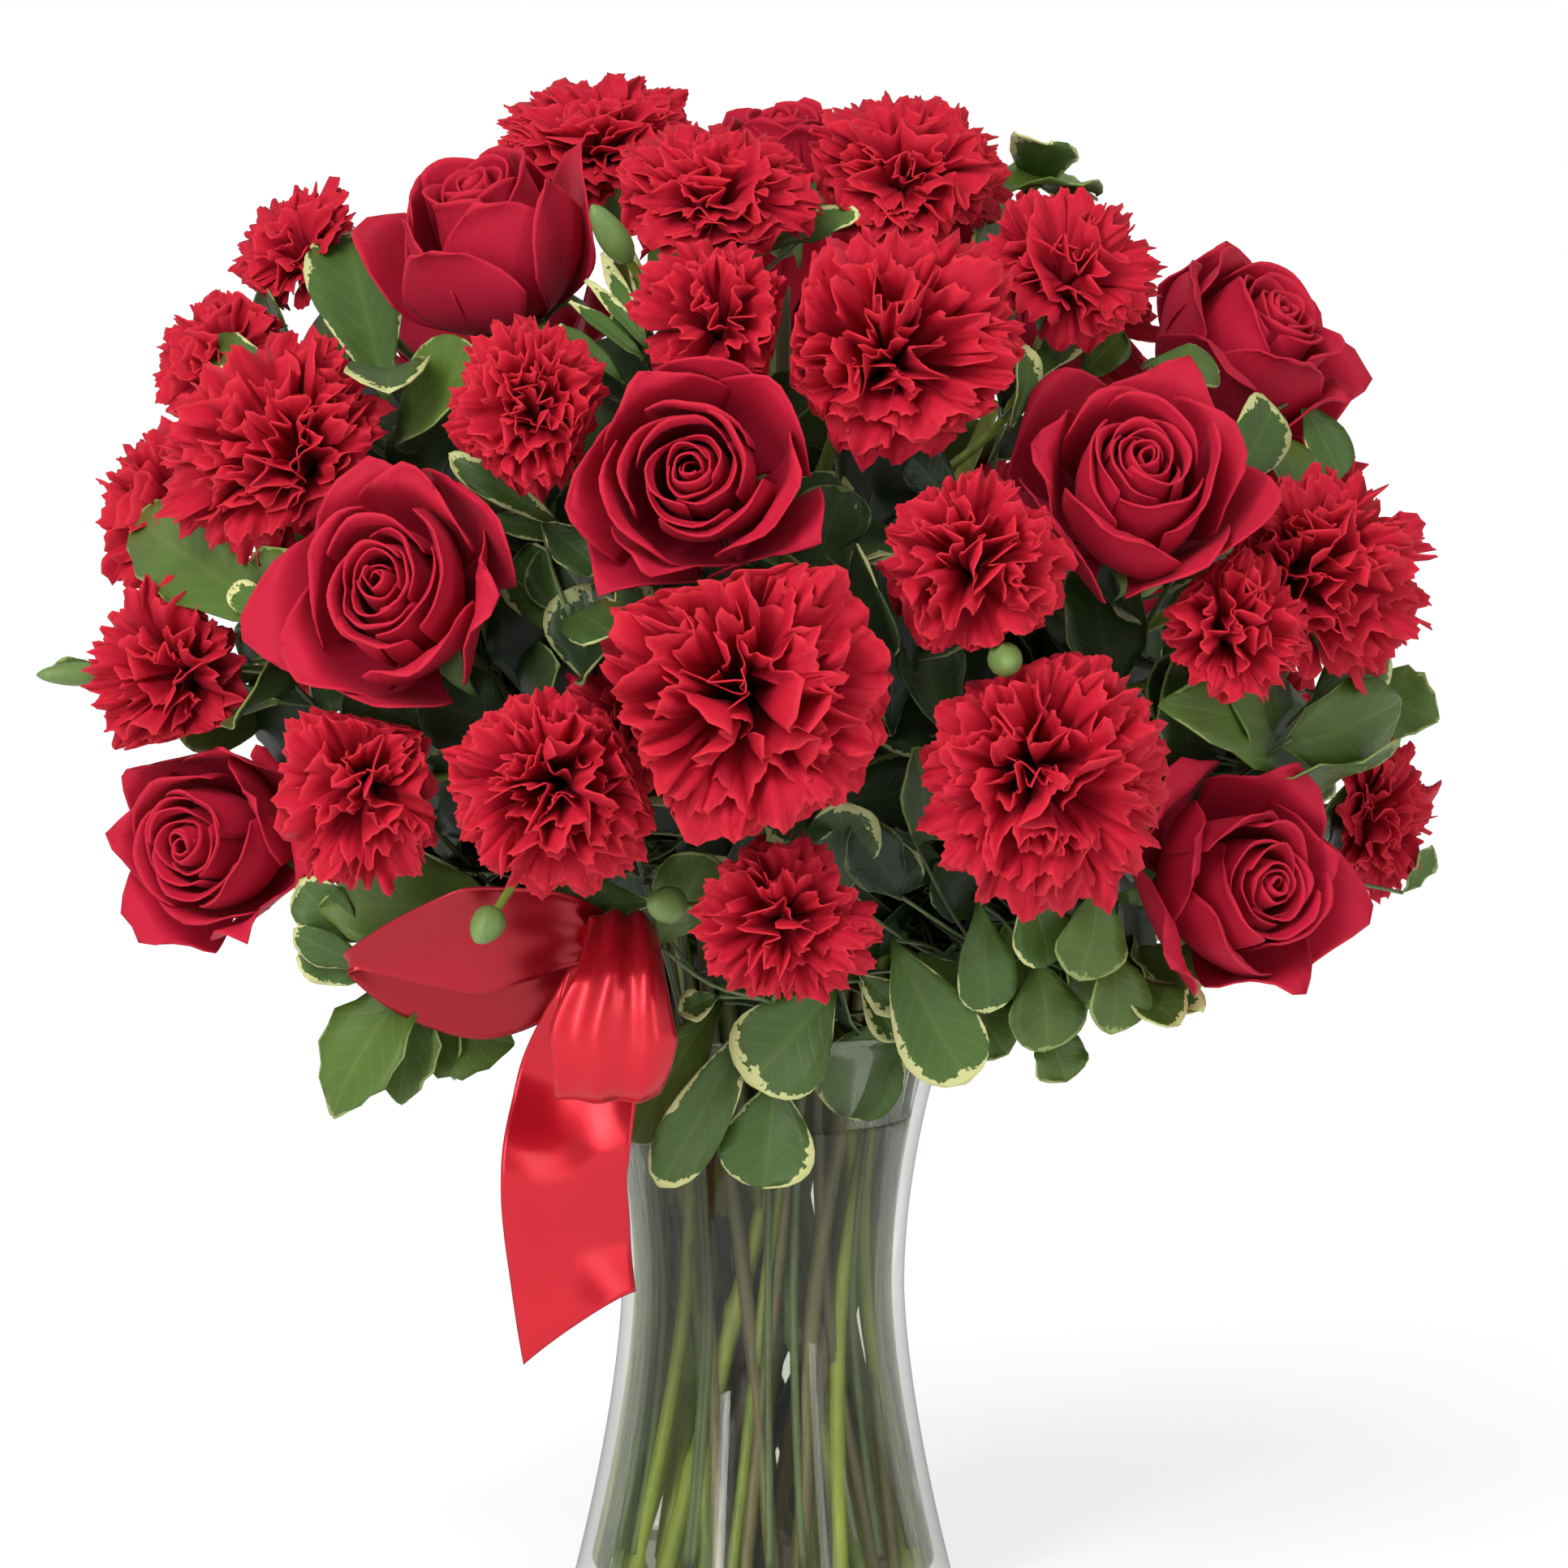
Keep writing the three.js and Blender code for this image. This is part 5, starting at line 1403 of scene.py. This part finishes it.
def clear_material(name, colour, edge, ior, clear, ripple):
    """Glass or water: a share of it is simply clear, and lamps pass through to what is behind it. Where seen
    at a slant, that clear share is tinted with painted shade.
    """
    n = Nodes(name)
    n.set(Base_Color=(*colour, 1), Roughness=0.0, IOR=ior, Transmission_Weight=1.0)
    n.bump(n.noise(14.0, 1.0), ripple, 0.002)
    rays = n.new("ShaderNodeLightPath")
    facing = n.new("ShaderNodeLayerWeight", Blend=0.5).outputs["Facing"]
    # Where the surface is seen at a slant, the clear share is tinted towards edge: painted shade on the
    # glass's edges.
    tint = n.mix(n.math("POWER", facing, 4.0), colour, edge)
    through = n.new("ShaderNodeBsdfTransparent", {"Color": tint})
    share = n.most(rays.outputs["Is Shadow Ray"], clear)
    mix = n.new("ShaderNodeMixShader", {0: share, 1: n.shader.outputs["BSDF"], 2: through.outputs["BSDF"]})
    n.tree.links.new(mix.outputs["Shader"], n.tree.nodes["Material Output"].inputs["Surface"])
    return n.material


def satin_material():
    n = Nodes("red satin")
    weave = n.new("ShaderNodeCombineXYZ", {"X": n.times(n.number("across"), 300.0),
                                           "Y": n.times(n.number("along"), 60.0)}).outputs["Vector"]
    threads = n.noise(1.0, 2.0, 0.5, weave)
    # A low tone mixes in the darker satin: painted shade.
    n.into("Base Color", n.mix(n.number("tone"), SATIN_SHADE, n.mix(threads, *SATIN_THREADS)))
    n.bump(threads, 0.08, 0.0004)
    return n.set(Metallic=0.55, Roughness=0.26, Specular_IOR_Level=0.6, Anisotropic=0.5, Sheen_Weight=0.1,
                 Coat_Weight=0.25, Coat_Roughness=0.22,
                 Sheen_Roughness=0.3, Specular_Tint=(1, 0.5, 0.5, 1))


# The object
routes = assign_stems()
rose_red = petal_material("rose petals", ROSE_STOPS, ROSE_SHADE, scale=60.0, lines=16.0, depth=0.3,
                          edge_highlight=0.15)
carnation_red = petal_material("carnation petals", CARNATION_STOPS, CARNATION_SHADE, scale=90.0, lines=22.0,
                               depth=0.4, edge_highlight=0.35)
for index, bloom in enumerate(blooms):
    build_bloom(bloom, PETAL_SEED + index, rose_red if bloom["kind"] == "rose" else carnation_red)
build_stems([
    stem_material("carnation stem", light=(0.30, 0.37, 0.040), dark=(0.045, 0.07, 0.010)),
    stem_material("rose stem", light=(0.15, 0.135, 0.04), dark=(0.030, 0.022, 0.016)),
    stem_material("calyx", light=(0.17, 0.26, 0.07), dark=(0.07, 0.13, 0.03)),
])
leaf_materials = [
    leaf_material("variegated leaf", DARK_GREEN, (0.066, 0.130, 0.022), cream=CREAM, margin_width=0.55),
    leaf_material("green leaf", DARK_GREEN, (0.084, 0.146, 0.022), cream=PALE_GREEN, margin_width=0.2),
    stem_material("twig", light=(0.13, 0.19, 0.06), dark=(0.05, 0.07, 0.025)),
]
for index, row in enumerate(GREENS):
    build_greens(index, row, leaf_materials)
build_vase(clear_material("glass", (0.95, 0.95, 0.92), edge=(0.42, 0.45, 0.49), ior=1.5, clear=0.84,
                          ripple=0.02))
build_water(clear_material("water", (0.97, 0.98, 0.97), edge=(0.9, 0.92, 0.9), ior=1.33, clear=0.0,
                           ripple=0.0))
build_ribbon(satin_material())


# Stage, light and camera, in metres
FLOOR_HALF = 60
FLOOR_GREYS = ((0.42, 0.42, 0.42), (0.45, 0.45, 0.45))
FLOOR_GLOW = 0.62
SURROUND_LIGHT = 0.53
LAMP_AIM = (0, 0, 0.26)
SUN = {"place": (-0.4, -0.8, 1.0), "aim": (0, 0, 0), "energy": 1.62, "angle": math.radians(40)}
# Tall narrow lamps at the sides of the camera: place and power
STRIP_WIDTH, STRIP_HEIGHT = 0.2, 1.8
STRIPS = {"key": ((-0.9, -1.6, 1.0), 20), "fill": ((1.3, -1.4, 0.6), 8)}


def build_stage():
    mesh = bpy.data.meshes.new("floor")
    corners = [(FLOOR_HALF * x, FLOOR_HALF * y, 0) for x, y in ((-1, -1), (1, -1), (1, 1), (-1, 1))]
    mesh.from_pydata(corners, [], [(0, 1, 2, 3)])
    floor = add_object("floor", mesh)
    n = Nodes("pale floor")
    n.into("Base Color", n.mix(n.noise(3.0), *FLOOR_GREYS))
    mesh.materials.append(n.set(Roughness=0.8, Emission_Color=(1, 1, 1, 1), Emission_Strength=FLOOR_GLOW))


def build_world():
    """A white surround that lights the bouquet less than it shows, so that its crevices stay dark."""
    world = bpy.data.worlds.new("studio")
    world.use_nodes = True
    tree = world.node_tree
    soft = tree.nodes["Background"]
    soft.inputs["Color"].default_value = (1, 1, 1, 1)
    soft.inputs["Strength"].default_value = SURROUND_LIGHT
    bright = tree.nodes.new("ShaderNodeBackground")
    bright.inputs["Color"].default_value = (1, 1, 1, 1)
    rays = tree.nodes.new("ShaderNodeLightPath")
    mix = tree.nodes.new("ShaderNodeMixShader")
    tree.links.new(rays.outputs["Is Camera Ray"], mix.inputs[0])
    tree.links.new(soft.outputs["Background"], mix.inputs[1])
    tree.links.new(bright.outputs["Background"], mix.inputs[2])
    tree.links.new(mix.outputs["Shader"], tree.nodes["World Output"].inputs["Surface"])
    bpy.context.scene.world = world


def add_lamp(name, kind, place, aim, **settings):
    data = bpy.data.lights.new(name, kind)
    for key, value in settings.items():
        setattr(data, key, value)
    lamp = add_object(name, data)
    lamp.location = place
    lamp.rotation_mode = "QUATERNION"
    lamp.rotation_quaternion = Vector(np.array(aim) - np.array(place)).to_track_quat("-Z", "Y")
    return lamp


def build_camera():
    """The photo's view: PIXEL millimetres to a pixel at the vase's axis."""
    distance = CAMERA_DISTANCE * MM
    data = bpy.data.cameras.new("camera")
    data.sensor_width = SENSOR_WIDTH
    data.lens = SENSOR_WIDTH * distance / (PHOTO_SIZE * PIXEL * MM)
    camera = add_object("camera", data)
    camera.location = CAMERA_AIM * MM + distance * CAMERA_BACK
    camera.rotation_euler = (math.pi / 2 - CAMERA_LIFT, 0, 0)
    bpy.context.scene.camera = camera


build_stage()
build_world()
add_lamp("sky light", "SUN", **SUN).visible_glossy = False
for name, (place, power) in STRIPS.items():
    add_lamp(name, "AREA", place, LAMP_AIM, shape="RECTANGLE", size=STRIP_WIDTH, size_y=STRIP_HEIGHT,
             energy=power)
build_camera()
bpy.context.scene.view_settings.view_transform = "Standard"
